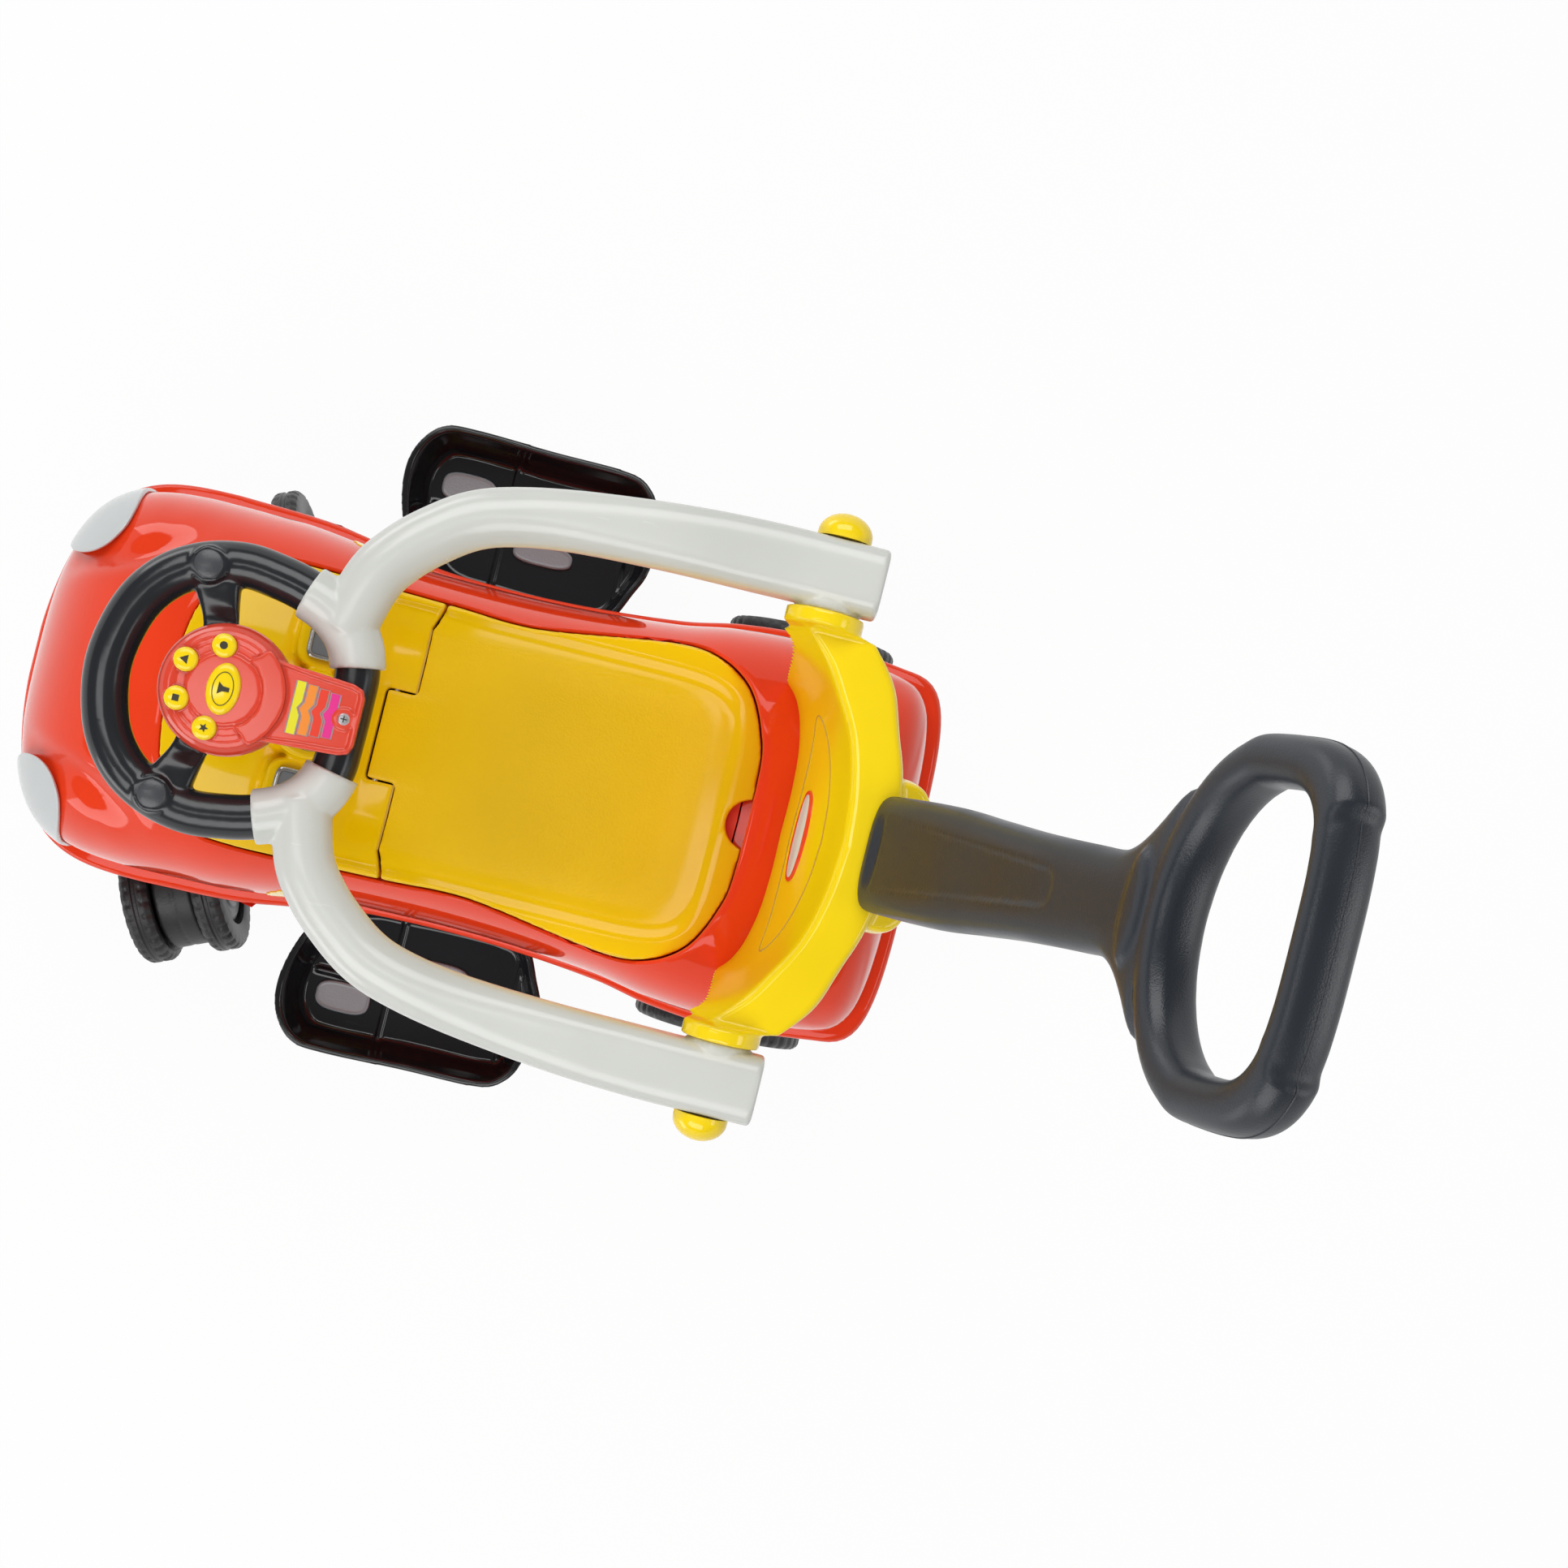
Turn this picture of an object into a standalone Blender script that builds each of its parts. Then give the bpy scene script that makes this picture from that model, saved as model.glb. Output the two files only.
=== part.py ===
"""Kids ride-on car, built piece by piece.

A toddler's push-along car with guard rails, a hinged storage seat, a steering wheel
with buttons, swivelling front casters and a push handle for an adult.
X points to the front of the car, Y to its left and Z up. The origin lies on the floor
under the middle of the whole car. All sizes are in metres.
"""
import math

import bmesh
import bpy
from mathutils import Matrix, Vector

# Fits
GAP = 0.0003                 # between pieces that touch
PARTING_GAP = 0.0015         # seen line round the seat lid
RUNNING_FIT = 0.0004         # radial, between a turning piece and its shaft

# The car is laid out from a point under its seat, then moved so that its box is centred
CENTRING = 0.0038245

# Body moulding
NOSE_X = 0.3785
TAIL_X = -0.251
FRONT_HALF_WIDTH = 0.139
WAIST_HALF_WIDTH = 0.124
REAR_HALF_WIDTH = 0.140
LEDGE_WIDTH = 0.010          # how far the rocker flange stands out at the nose and tail
BODY_WALL = 0.0035
FRONT_X = 0.265              # stations of the full widths and of the waist
WAIST_X = 0.075
REAR_X = -0.145
NOSE_ROUND = 0.139           # lengths over which the ends round off
TAIL_ROUND = 0.066
CREST_POWER = 2.9            # squareness of the upper body's arch
HOOD_HEIGHT = 0.286
SEAT_CROWN_HEIGHT = 0.270    # height the body's crown would have over the seat opening
TAIL_HEIGHT = 0.240
SKIRT_HEIGHT = 0.060         # floor to the lower edge, between the wheels
FRONT_SKIRT_HEIGHT = 0.106   # the same over the casters

# Seat opening, panel and lid
DECK_HEIGHT = 0.2245         # ledge that carries the storage bin and the dash panel
DECK_THICKNESS = 0.004
SEAT_HEIGHT = 0.2385
LID_FRONT_X = 0.093
LID_REAR_X = -0.134
LID_HALF_WIDTH = 0.1035
PANEL_FRONT_X = 0.238
HINGE_X = 0.1075
CORNER_RELIEF = 0.0014        # how far the lid's front corners step back under the parting line
KNUCKLE_RADIUS = 0.004
HINGE_Z = DECK_HEIGHT + 0.001 + KNUCKLE_RADIUS
PIN_RADIUS = 0.002
PIN_REACH = 0.010
TAB_HALF_WIDTH = 0.0295
NOTCH_RADIUS = 0.0165
BIN_FLANGE = 0.003
BIN_WALL = 0.0025
BIN_INSET = 0.014
POD_TILT = math.radians(22.0)
GAUGE_SPOT = (0.143, 0.0, 0.288)
GAUGE_RADIUS = 0.0225
POD_RADIUS = GAUGE_RADIUS + 0.004
WINDOW_SPOT = (0.149, 0.049, 0.278)
WINDOW_HALF_X = 0.011
WINDOW_HALF_Y = 0.014

# Floor pan
PAN_HEIGHT = 0.072
PAN_THICKNESS = 0.004
PAN_FRONT_HEIGHT = FRONT_SKIRT_HEIGHT - GAP - PAN_THICKNESS
AXLE_LUG_Y = 0.088
AXLE_LUG_THICKNESS = 0.008

# Rear wheels
REAR_AXLE_X = -0.145
REAR_WHEEL_RADIUS = 0.061
REAR_WHEEL_WIDTH = 0.036
REAR_WHEEL_OUTER_Y = 0.148
REAR_AXLE_RADIUS = 0.0045
BUSH_WALL = 0.003
BUSH_RADIUS = REAR_AXLE_RADIUS + RUNNING_FIT + BUSH_WALL
ARCH_CLEARANCE = 0.009

# Front casters
CASTER_X = 0.2665
CASTER_Y = 0.1245
CASTER_TRAIL = 0.022
CASTER_WHEEL_RADIUS = 0.048
CASTER_WHEEL_WIDTH = 0.0205
CASTER_DRUM_RADIUS = 0.040
CASTER_DRUM_WIDTH = 0.028
CASTER_STEM_RADIUS = 0.005
CASTER_AXLE_RADIUS = 0.004
CASTER_TURN = math.radians(24.0)   # how far both casters are swivelled at rest
SOCKET_RADIUS = 0.0095           # boss on the floor pan that takes the stem
SOCKET_TOP = 0.130

# Steering wheel
HUB_X = 0.167
HUB_Z = 0.402
WHEEL_TILT = math.radians(8.0)
RING_TUBE_RADIUS = 0.013
SLEEVE_WALL = 0.0028
HUB_RADIUS = 0.0375
HUB_TOP = 0.027
HUB_WALL = 0.003
BUTTON_RADIUS = 0.0068
BUTTON_TRAVEL = 0.0018
BUTTON_FLANGE = 0.0009       # lip that holds each button under the cover
HORN_HALF_LENGTH = 0.0147
HORN_HALF_WIDTH = 0.0093
TONGUE_HALF_WIDTH = 0.0215   # red arm that reaches over the bar
COLUMN_RADIUS = 0.013
PLATE_TOP = 0.003                # half the thickness of the ring's centre plate
CEILING = HUB_TOP - HUB_WALL
POST_TOP = CEILING - 0.002 - BUTTON_TRAVEL - 0.0006
SPEAKER_RADIUS = 0.020
CAP_SPOT = (0.026, 0.0665)
CAP_RADIUS = 0.008
CAP_TOP = 0.0142
SCREW_RADIUS = 0.0018
SCREW_HEAD_RADIUS = 0.0036
ARM_END_X = -0.0765
BUTTON_SPOTS = {"button_front_left": (0.0235, 0.011), "button_front_right": (0.0235, -0.011),
                "button_side_left": (0.005, 0.0235), "button_side_right": (0.005, -0.0235)}

# Guard rails and backrest
RAIL_Y = 0.1495
RAIL_RADIUS = 0.017
COLLAR_X = -0.151
COLLAR_Z = 0.385
COLLAR_RADIUS = 0.023
COLLAR_END_Y = 0.1267
KNOB_RADIUS = 0.016
KNOB_PIN_RADIUS = 0.008
BACKREST_TOP = 0.395
BACKREST_THICKNESS = 0.031

# Push handle
HANDLE_BASE_X = -0.216
HANDLE_BASE_Z = 0.389
HANDLE_LEAN = math.radians(21.7)
HANDLE_THICKNESS = 0.028
NECK_BASE_HALF_WIDTH = 0.034
NECK_HALF_WIDTH = 0.0255
LOOP_CENTRE = 0.3678         # up the handle from the top of the backrest
LOOP_HALF_WIDTH = 0.083
LOOP_OPENING_HALF_WIDTH = 0.061
LOOP_OPENING_HALF_LENGTH = 0.0445
LOOP_BAR = 0.020
TONGUE_DEPTH = 0.085
SOCKET_HALF_WIDTH = 0.046
BOLT_RADIUS = 0.003
BOLT_HEAD_RADIUS = 0.006
BOLT_SEAT = 0.038            # from the middle of the tongue back to the head

# Foot trays
TRAY_RIM_HEIGHT = 0.085
TRAY_FLOOR_HEIGHT = 0.050
TRAY_WALL = 0.005
TRAY_OUTER_Y = 0.231
PAD_THICKNESS = 0.003

SIDES = (("left", 1.0), ("right", -1.0))
FINISHES = {
    "red_gloss": ((0.70, 0.026, 0.007), 0.18, 0.0),
    "hub_red": ((0.86, 0.075, 0.038), 0.22, 0.0),
    "seat_yellow": ((0.76, 0.44, 0.002), 0.25, 0.0),
    "bright_yellow": ((0.93, 0.66, 0.010), 0.22, 0.0),
    "off_white": ((0.68, 0.69, 0.65), 0.30, 0.0),
    "black_gloss": ((0.012, 0.012, 0.014), 0.16, 0.0),
    "charcoal": ((0.020, 0.023, 0.028), 0.45, 0.0),
    "wheel_black": ((0.018, 0.018, 0.020), 0.55, 0.0),
    "grey_plastic": ((0.33, 0.34, 0.36), 0.35, 0.0),
    "silver_trim": ((0.55, 0.55, 0.54), 0.25, 0.6),
    "lens_white": ((0.80, 0.82, 0.82), 0.12, 0.0),
    "steel": ((0.60, 0.60, 0.62), 0.30, 1.0),
    "board_green": ((0.02, 0.16, 0.05), 0.50, 0.0),
}


def clear_scene():
    for item in list(bpy.data.objects):
        bpy.data.objects.remove(item, do_unlink=True)


def finish_material(name):
    """Give the named finish, made once."""
    found = bpy.data.materials.get(name)
    if found:
        return found
    colour, roughness, metallic = FINISHES[name]
    made = bpy.data.materials.new(name)
    made.use_nodes = True
    shader = made.node_tree.nodes["Principled BSDF"]
    shader.inputs["Base Color"].default_value = (*colour, 1.0)
    shader.inputs["Roughness"].default_value = roughness
    shader.inputs["Metallic"].default_value = metallic
    made.diffuse_color = (*colour, 1.0)
    return made


def place(name, shape, finish, origin=(0.0, 0.0, 0.0), parent=None, sharp=35.0):
    """Turn a bmesh into a named object whose origin is moved to the given point."""
    bmesh.ops.recalc_face_normals(shape, faces=shape.faces)
    bmesh.ops.translate(shape, verts=shape.verts, vec=-Vector(origin))
    mesh = bpy.data.meshes.new(name)
    shape.to_mesh(mesh)
    shape.free()
    mesh.shade_smooth()
    mesh.set_sharp_from_angle(angle=math.radians(sharp))
    mesh.materials.append(finish_material(finish))
    item = bpy.data.objects.new(name, mesh)
    item.location = origin
    item.parent = parent
    bpy.context.collection.objects.link(item)
    return item


def combine(target, shape, operation="DIFFERENCE"):
    """Apply one exact Boolean between an object and a bmesh given in the object's own space."""
    bmesh.ops.recalc_face_normals(shape, faces=shape.faces)
    mesh = bpy.data.meshes.new("cutter")
    shape.to_mesh(mesh)
    shape.free()
    cutter = bpy.data.objects.new("cutter", mesh)
    cutter.hide_render = True
    cutter.display_type = "WIRE"
    bpy.context.collection.objects.link(cutter)
    cutter.parent = target.parent
    cutter.location = target.location
    cutter.data.transform(Matrix.Translation(-target.location))
    step = target.modifiers.new("combine", "BOOLEAN")
    step.operation = operation
    step.solver = "EXACT"
    step.object = cutter
    bpy.context.view_layer.update()
    result = target.evaluated_get(bpy.context.evaluated_depsgraph_get())
    merged = bpy.data.meshes.new_from_object(result)
    target.modifiers.clear()
    target.data = merged
    bpy.data.objects.remove(cutter, do_unlink=True)
    tidy(merged)


def tidy(mesh):
    """Weld the hair-thin slivers a Boolean leaves and shade the result."""
    shape = bmesh.new()
    shape.from_mesh(mesh)
    bmesh.ops.remove_doubles(shape, verts=shape.verts, dist=0.00002)
    bmesh.ops.dissolve_degenerate(shape, dist=0.00001, edges=shape.edges)
    shape.to_mesh(mesh)
    shape.free()
    mesh.shade_smooth()
    mesh.set_sharp_from_angle(angle=math.radians(35.0))


def clamp(value, low=0.0, high=1.0):
    return max(low, min(high, value))


def ease(value):
    """Smooth step from 0 to 1."""
    t = clamp(value)
    return t * t * (3.0 - 2.0 * t)


def mix(a, b, t):
    return a + (b - a) * t


def curve_value(x, stations):
    """Smooth curve through (x, value) stations, level beyond the ends."""
    if x <= stations[0][0]:
        return stations[0][1]
    if x >= stations[-1][0]:
        return stations[-1][1]
    last = len(stations) - 1
    for i in range(last):
        x0, v0 = stations[i]
        x1, v1 = stations[i + 1]
        if x <= x1:
            before = stations[max(i - 1, 0)]
            after = stations[min(i + 2, last)]
            span = x1 - x0
            slope0 = (v1 - before[1]) / (x1 - before[0]) * span
            slope1 = (after[1] - v0) / (after[0] - x0) * span
            t = (x - x0) / span
            return ((2 * t ** 3 - 3 * t ** 2 + 1) * v0 + (t ** 3 - 2 * t ** 2 + t) * slope0
                    + (3 * t ** 2 - 2 * t ** 3) * v1 + (t ** 3 - t ** 2) * slope1)
    return stations[-1][1]


def smooth_path(points, steps, closed=False):
    """Points along a Catmull-Rom curve through the given points."""
    count = len(points)
    size = len(points[0])
    spans = count if closed else count - 1
    path = []
    for i in range(spans):
        if closed:
            p = [points[(i + k) % count] for k in (-1, 0, 1, 2)]
        else:
            p = [points[clamp_index(i + k, count)] for k in (-1, 0, 1, 2)]
        for k in range(steps):
            t = k / steps
            path.append(tuple(
                0.5 * (2 * p[1][c] + (p[2][c] - p[0][c]) * t
                       + (2 * p[0][c] - 5 * p[1][c] + 4 * p[2][c] - p[3][c]) * t * t
                       + (3 * p[1][c] - p[0][c] - 3 * p[2][c] + p[3][c]) * t ** 3)
                for c in range(size)))
    if not closed:
        path.append(tuple(points[-1]))
    return path


def clamp_index(i, count):
    return max(0, min(count - 1, i))


def mirrored(half):
    """Close a half outline, given from rear to front with y above zero, with its mirror image."""
    inner = [p for p in half if p[1] > 1e-6]
    front = [p for p in half[1:] if p[1] <= 1e-6]
    rear = [p for p in half[:1] if p[1] <= 1e-6]
    return rear + inner + front + [(x, -y) for x, y in reversed(inner)]


def offset_outline(outline, distance):
    """Move each point of a closed outline along its outward normal."""
    count = len(outline)
    area = sum(outline[i][0] * outline[(i + 1) % count][1] - outline[(i + 1) % count][0] * outline[i][1]
               for i in range(count))
    sign = 1.0 if area > 0.0 else -1.0
    moved = []
    for i in range(count):
        ax, ay = outline[i - 1]
        bx, by = outline[(i + 1) % count]
        length = math.hypot(bx - ax, by - ay)
        normal = (sign * (by - ay) / length, -sign * (bx - ax) / length)
        moved.append((outline[i][0] + normal[0] * distance, outline[i][1] + normal[1] * distance))
    return moved


def loft(rings, closed=False):
    """Skin a row of rings that have the same number of points, and cap its ends."""
    shape = bmesh.new()
    loops = [[shape.verts.new(p) for p in ring] for ring in rings]
    pairs = list(zip(loops, loops[1:]))
    if closed:
        pairs.append((loops[-1], loops[0]))
    for a, b in pairs:
        for i in range(len(a)):
            j = (i + 1) % len(a)
            shape.faces.new((a[i], a[j], b[j], b[i]))
    if not closed:
        shape.faces.new(loops[0])
        shape.faces.new(loops[-1])
    return shape


def prism(outline, low, high):
    return loft([[(x, y, low) for x, y in outline], [(x, y, high) for x, y in outline]])


def rounded(half_a, half_b, power, count):
    """Superellipse ring in a plane: power 2 is an ellipse, higher is a rounded box."""
    ring = []
    for i in range(count):
        turn = 2.0 * math.pi * (i + 0.5) / count
        c, s = math.cos(turn), math.sin(turn)
        ring.append((half_a * math.copysign(abs(c) ** (2.0 / power), c),
                     half_b * math.copysign(abs(s) ** (2.0 / power), s)))
    return ring


def sweep(path, section, normal=(0.0, 0.0, 1.0), closed=False):
    """Carry a section along a path. section(i) gives (across, along normal) points."""
    up = Vector(normal)
    points = [Vector(p) for p in path]
    count = len(points)
    rings = []
    for i, point in enumerate(points):
        if closed:
            ahead = points[(i + 1) % count] - points[i - 1]
        else:
            ahead = points[min(i + 1, count - 1)] - points[max(i - 1, 0)]
        side = ahead.cross(up).normalized()
        rise = side.cross(ahead).normalized()
        rings.append([point + side * a + rise * b for a, b in section(i)])
    return loft(rings, closed)


def turned(profile, steps, axis="Z", centre=(0.0, 0.0, 0.0)):
    """Spin a closed (radius, height) profile round an axis. A zero radius is on the axis."""
    rings = []
    for k in range(steps):
        turn = 2.0 * math.pi * k / steps
        rings.append([(r * math.cos(turn), r * math.sin(turn), h) for r, h in profile])
    shape = bmesh.new()
    hub = {}
    loops = []
    for ring in rings:
        row = []
        for i, point in enumerate(ring):
            if profile[i][0] < 1e-7:
                if i not in hub:
                    hub[i] = shape.verts.new(point)
                row.append(hub[i])
            else:
                row.append(shape.verts.new(point))
        loops.append(row)
    for k in range(steps):
        a, b = loops[k], loops[(k + 1) % steps]
        for i in range(len(profile)):
            j = (i + 1) % len(profile)
            corners = [a[i], a[j], b[j], b[i]]
            unique = [v for n, v in enumerate(corners) if v not in corners[:n]]
            if len(unique) > 2:
                shape.faces.new(unique)
    turns = {"Z": Matrix.Identity(4), "Y": Matrix.Rotation(-math.pi / 2, 4, "X"),
             "X": Matrix.Rotation(math.pi / 2, 4, "Y")}
    bmesh.ops.transform(shape, matrix=Matrix.Translation(centre) @ turns[axis], verts=shape.verts)
    return shape


def rod(radius, low, high, steps, axis="Z", centre=(0.0, 0.0, 0.0)):
    return turned([(0.0, low), (radius, low), (radius, high), (0.0, high)], steps, axis, centre)


def moved(shape, matrix):
    bmesh.ops.transform(shape, matrix=matrix, verts=shape.verts)
    return shape


# Body surface: widths follow the plan view, heights the side view
WIDTHS = ((REAR_X - 0.070, REAR_HALF_WIDTH - 0.007), (REAR_X, REAR_HALF_WIDTH),
          (REAR_X + 0.050, REAR_HALF_WIDTH - 0.003), (REAR_X + 0.090, WAIST_HALF_WIDTH + 0.006),
          (WAIST_X - 0.050, WAIST_HALF_WIDTH), (WAIST_X + 0.030, WAIST_HALF_WIDTH),
          (WAIST_X + 0.070, WAIST_HALF_WIDTH + 0.004), (FRONT_X - 0.100, FRONT_HALF_WIDTH - 0.007),
          (FRONT_X - 0.060, FRONT_HALF_WIDTH - 0.0015), (FRONT_X, FRONT_HALF_WIDTH))
STEPS_OUT = ((REAR_X, LEDGE_WIDTH - 0.002), (WAIST_X - 0.03, LEDGE_WIDTH - 0.004),
             (WAIST_X + 0.03, LEDGE_WIDTH - 0.004), (FRONT_X - 0.04, LEDGE_WIDTH))
LEDGES = ((REAR_X, 0.138), (WAIST_X - 0.03, 0.108), (WAIST_X + 0.06, 0.111), (FRONT_X, 0.134))
CROWNS = ((TAIL_X + 0.042, TAIL_HEIGHT - 0.003), (TAIL_X + 0.092, SEAT_CROWN_HEIGHT - 0.008),
          (LID_REAR_X + 0.019, SEAT_CROWN_HEIGHT), (LID_REAR_X + 0.079, SEAT_CROWN_HEIGHT),
          (LID_FRONT_X - 0.048, SEAT_CROWN_HEIGHT - 0.002), (LID_FRONT_X + 0.052, SEAT_CROWN_HEIGHT + 0.002),
          (0.195, HOOD_HEIGHT - 0.001), (0.235, HOOD_HEIGHT - 0.003), (0.275, HOOD_HEIGHT - 0.010))


def round_end(x, start, end, fall, power):
    """1 along the body, falling to nearly 0 at a rounded end."""
    s = clamp((x - start) / (end - start))
    return (1.0 - (0.997 * s) ** fall) ** (1.0 / power)


def ends(x, nose, tail, nose_fall, nose_power, tail_fall, tail_power):
    if x > nose - NOSE_ROUND:
        return round_end(x, nose - NOSE_ROUND, nose, nose_fall, nose_power)
    if x < tail + TAIL_ROUND:
        return round_end(x, tail + TAIL_ROUND, tail, tail_fall, tail_power)
    return 1.0


def flange_half(x):
    return curve_value(x, WIDTHS) * ends(x, NOSE_X, TAIL_X, 4.6, 2.1, 6.0, 4.0)


def upper_half(x, inset=0.0):
    width = curve_value(x, WIDTHS) - curve_value(x, STEPS_OUT) - inset
    inward = LEDGE_WIDTH + inset
    return width * ends(x, NOSE_X - inward, TAIL_X + inward, 4.6, 2.1, 6.0, 4.0)


def skirt_height(x):
    return mix(SKIRT_HEIGHT, FRONT_SKIRT_HEIGHT, ease((x - 0.145) / 0.05))


def ledge_height(x):
    return curve_value(x, LEDGES)


def crown_height(x, inset=0.0):
    base = ledge_height(x)
    fade = ends(x, NOSE_X - LEDGE_WIDTH - inset, TAIL_X + LEDGE_WIDTH + inset, 2.2, 1.6, 5.0, 2.5)
    return base + (curve_value(x, CROWNS) - inset - base) * fade


def body_top(x, y):
    """Height of the upper body's outside over a point."""
    base = ledge_height(x)
    share = clamp(abs(y) / upper_half(x))
    return base + (crown_height(x) - base) * (1.0 - share ** CREST_POWER) ** (1.0 / CREST_POWER)


def body_stations(low, high, count):
    """Stations along the body, closer together near its ends."""
    return [mix(low, high, 0.5 - 0.5 * math.cos(math.pi * (0.06 + 0.88 * i / (count - 1)))
                if 0 < i < count - 1 else i / (count - 1)) for i in range(count)]


def flange_solid(grow=0.0, count=22):
    rings = []
    for x in body_stations(TAIL_X, NOSE_X, count):
        w = flange_half(x) + grow
        low, high = skirt_height(x) - grow, ledge_height(x) + grow
        half = [(w - 0.003, low), (w, low + 0.003), (w, high - 0.006), (w - 0.002, high - 0.0015),
                (w - 0.006, high)]
        along = x + math.copysign(grow, x)
        rings.append([(along, y, z) for y, z in half] + [(along, -y, z) for y, z in reversed(half)])
    return loft(rings)


def upper_solid(inset=0.0, deck=None, count=22, arch=14, start=None, extra=()):
    """The rounded upper body; with an inset it is the hollow inside the wall, open below."""
    rings = []
    ends_in = LEDGE_WIDTH + inset
    low = TAIL_X + ends_in if start is None else start
    for x in sorted(body_stations(low, NOSE_X - ends_in, count) + list(extra)):
        base = ledge_height(x)
        half, top = upper_half(x, inset), crown_height(x, inset)
        ring = []
        for i in range(arch + 1):
            turn = math.pi * i / arch
            c, s = math.cos(turn), math.sin(turn)
            y = half * math.copysign(abs(c) ** (2.0 / CREST_POWER), c)
            z = base + (top - base) * abs(s) ** (2.0 / CREST_POWER)
            if deck:
                z = min(z, deck(x))
            ring.append((x, y, z))
        floor = skirt_height(x) - 0.02 if deck else base - 0.012
        rings.append([(x, half, floor)] + ring + [(x, -half, floor)])
    return loft(rings)


# Plan outline of the yellow seat and dash, rear to front on the left side
DECK_ENDS = (LID_REAR_X - 0.016, LID_REAR_X - 0.005, PANEL_FRONT_X + 0.005, PANEL_FRONT_X + 0.018)


def under_deck(x):
    """Ceiling of the hollow: under the deck in the opening, far above it elsewhere."""
    outside = max(DECK_ENDS[1] - x, x - DECK_ENDS[2], 0.0)
    return DECK_HEIGHT - DECK_THICKNESS + outside * 5.0


SEAT_OUTLINE = mirrored(smooth_path([
    (LID_REAR_X, 0.0), (LID_REAR_X + 0.001, 0.040), (LID_REAR_X + 0.006, 0.060),
    (LID_REAR_X + 0.014, 0.078), (LID_REAR_X + 0.024, 0.090), (LID_REAR_X + 0.039, LID_HALF_WIDTH - 0.0045),
    (LID_REAR_X + 0.059, LID_HALF_WIDTH), (LID_REAR_X + 0.089, LID_HALF_WIDTH - 0.0025),
    (LID_REAR_X + 0.149, LID_HALF_WIDTH - 0.012), (LID_REAR_X + 0.179, LID_HALF_WIDTH - 0.014),
    (LID_FRONT_X - 0.008, LID_HALF_WIDTH - 0.012), (LID_FRONT_X + 0.057, LID_HALF_WIDTH - 0.0105),
    (PANEL_FRONT_X - 0.048, LID_HALF_WIDTH - 0.0115), (PANEL_FRONT_X - 0.033, LID_HALF_WIDTH - 0.0155),
    (PANEL_FRONT_X - 0.016, 0.070), (PANEL_FRONT_X - 0.005, 0.045), (PANEL_FRONT_X, 0.0)], 1))


def seat_surface(x, y):
    """Top of the seat: dished in the middle with raised sides and rear."""
    centre_x = 0.5 * (LID_REAR_X + LID_FRONT_X)
    half_length = 0.5 * (LID_FRONT_X - LID_REAR_X)
    rear = clamp((centre_x - x) / half_length)
    side = abs(y) / LID_HALF_WIDTH
    edge = max(side, rear)
    return SEAT_HEIGHT - 0.006 + 0.006 * ease((edge - 0.62) / 0.3)


def dash_surface(x, y):
    """Top of the panel: level with the seat at its rear, rising to the hood at its front."""
    rise = ease((x - LID_FRONT_X - 0.022) / 0.060)
    seat = SEAT_HEIGHT - 0.006 * (1.0 - ease((abs(y) / LID_HALF_WIDTH - 0.62) / 0.3)) * (1.0 - rise)
    return min(mix(seat, body_top(x, y) + 0.001, rise), body_top(x, y) + 0.001)


def relief(low_x, high_x, half_y, columns, rows, top, bottom):
    """Block with a shaped top over a rectangle and a flat underside."""
    shape = bmesh.new()
    grids = []
    for level in range(2):
        grid = []
        for i in range(columns + 1):
            x = mix(low_x, high_x, i / columns)
            row = []
            for j in range(rows + 1):
                y = mix(-half_y, half_y, j / rows)
                row.append(shape.verts.new((x, y, max(top(x, y), bottom + 0.003) if level else bottom)))
            grid.append(row)
        grids.append(grid)
    for grid in grids:
        for i in range(columns):
            for j in range(rows):
                shape.faces.new((grid[i][j], grid[i + 1][j], grid[i + 1][j + 1], grid[i][j + 1]))
    below, above = grids
    border = ([(i, 0) for i in range(columns)] + [(columns, j) for j in range(rows)]
              + [(i, rows) for i in range(columns, 0, -1)] + [(0, j) for j in range(rows, 0, -1)])
    for k, (i, j) in enumerate(border):
        m, n = border[(k + 1) % len(border)]
        shape.faces.new((below[i][j], below[m][n], above[m][n], above[i][j]))
    return shape


def make_body_shell():
    """Red moulding: rocker flange and rounded upper body in one, hollow and open below."""
    body = place("body_shell", flange_solid(), "red_gloss")
    combine(body, upper_solid(), "UNION")
    combine(body, upper_solid(BODY_WALL, under_deck, 14, 8, None, DECK_ENDS))
    combine(body, prism(offset_outline(SEAT_OUTLINE, 0.0008), DECK_HEIGHT, HOOD_HEIGHT + 0.1))
    combine(body, prism(bin_outline(-0.0006), 0.1, DECK_HEIGHT + 0.05))
    combine(body, pan_plate(GAP))
    arch = REAR_WHEEL_RADIUS + ARCH_CLEARANCE
    inner = REAR_WHEEL_OUTER_Y - REAR_WHEEL_WIDTH - 0.016
    for _, side in SIDES:
        cut = rod(arch, inner, REAR_HALF_WIDTH + 0.03, 24, "Y", (REAR_AXLE_X, 0.0, REAR_WHEEL_RADIUS))
        if side < 0.0:
            bmesh.ops.transform(cut, matrix=Matrix.Scale(-1.0, 4, (0.0, 1.0, 0.0)), verts=cut.verts)
        combine(body, cut)
        socket = rod(SOCKET_RADIUS + GAP, SKIRT_HEIGHT, SOCKET_TOP + GAP, 16,
                     "Z", (CASTER_X, side * CASTER_Y, 0.0))
        combine(body, socket)
    return body


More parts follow.
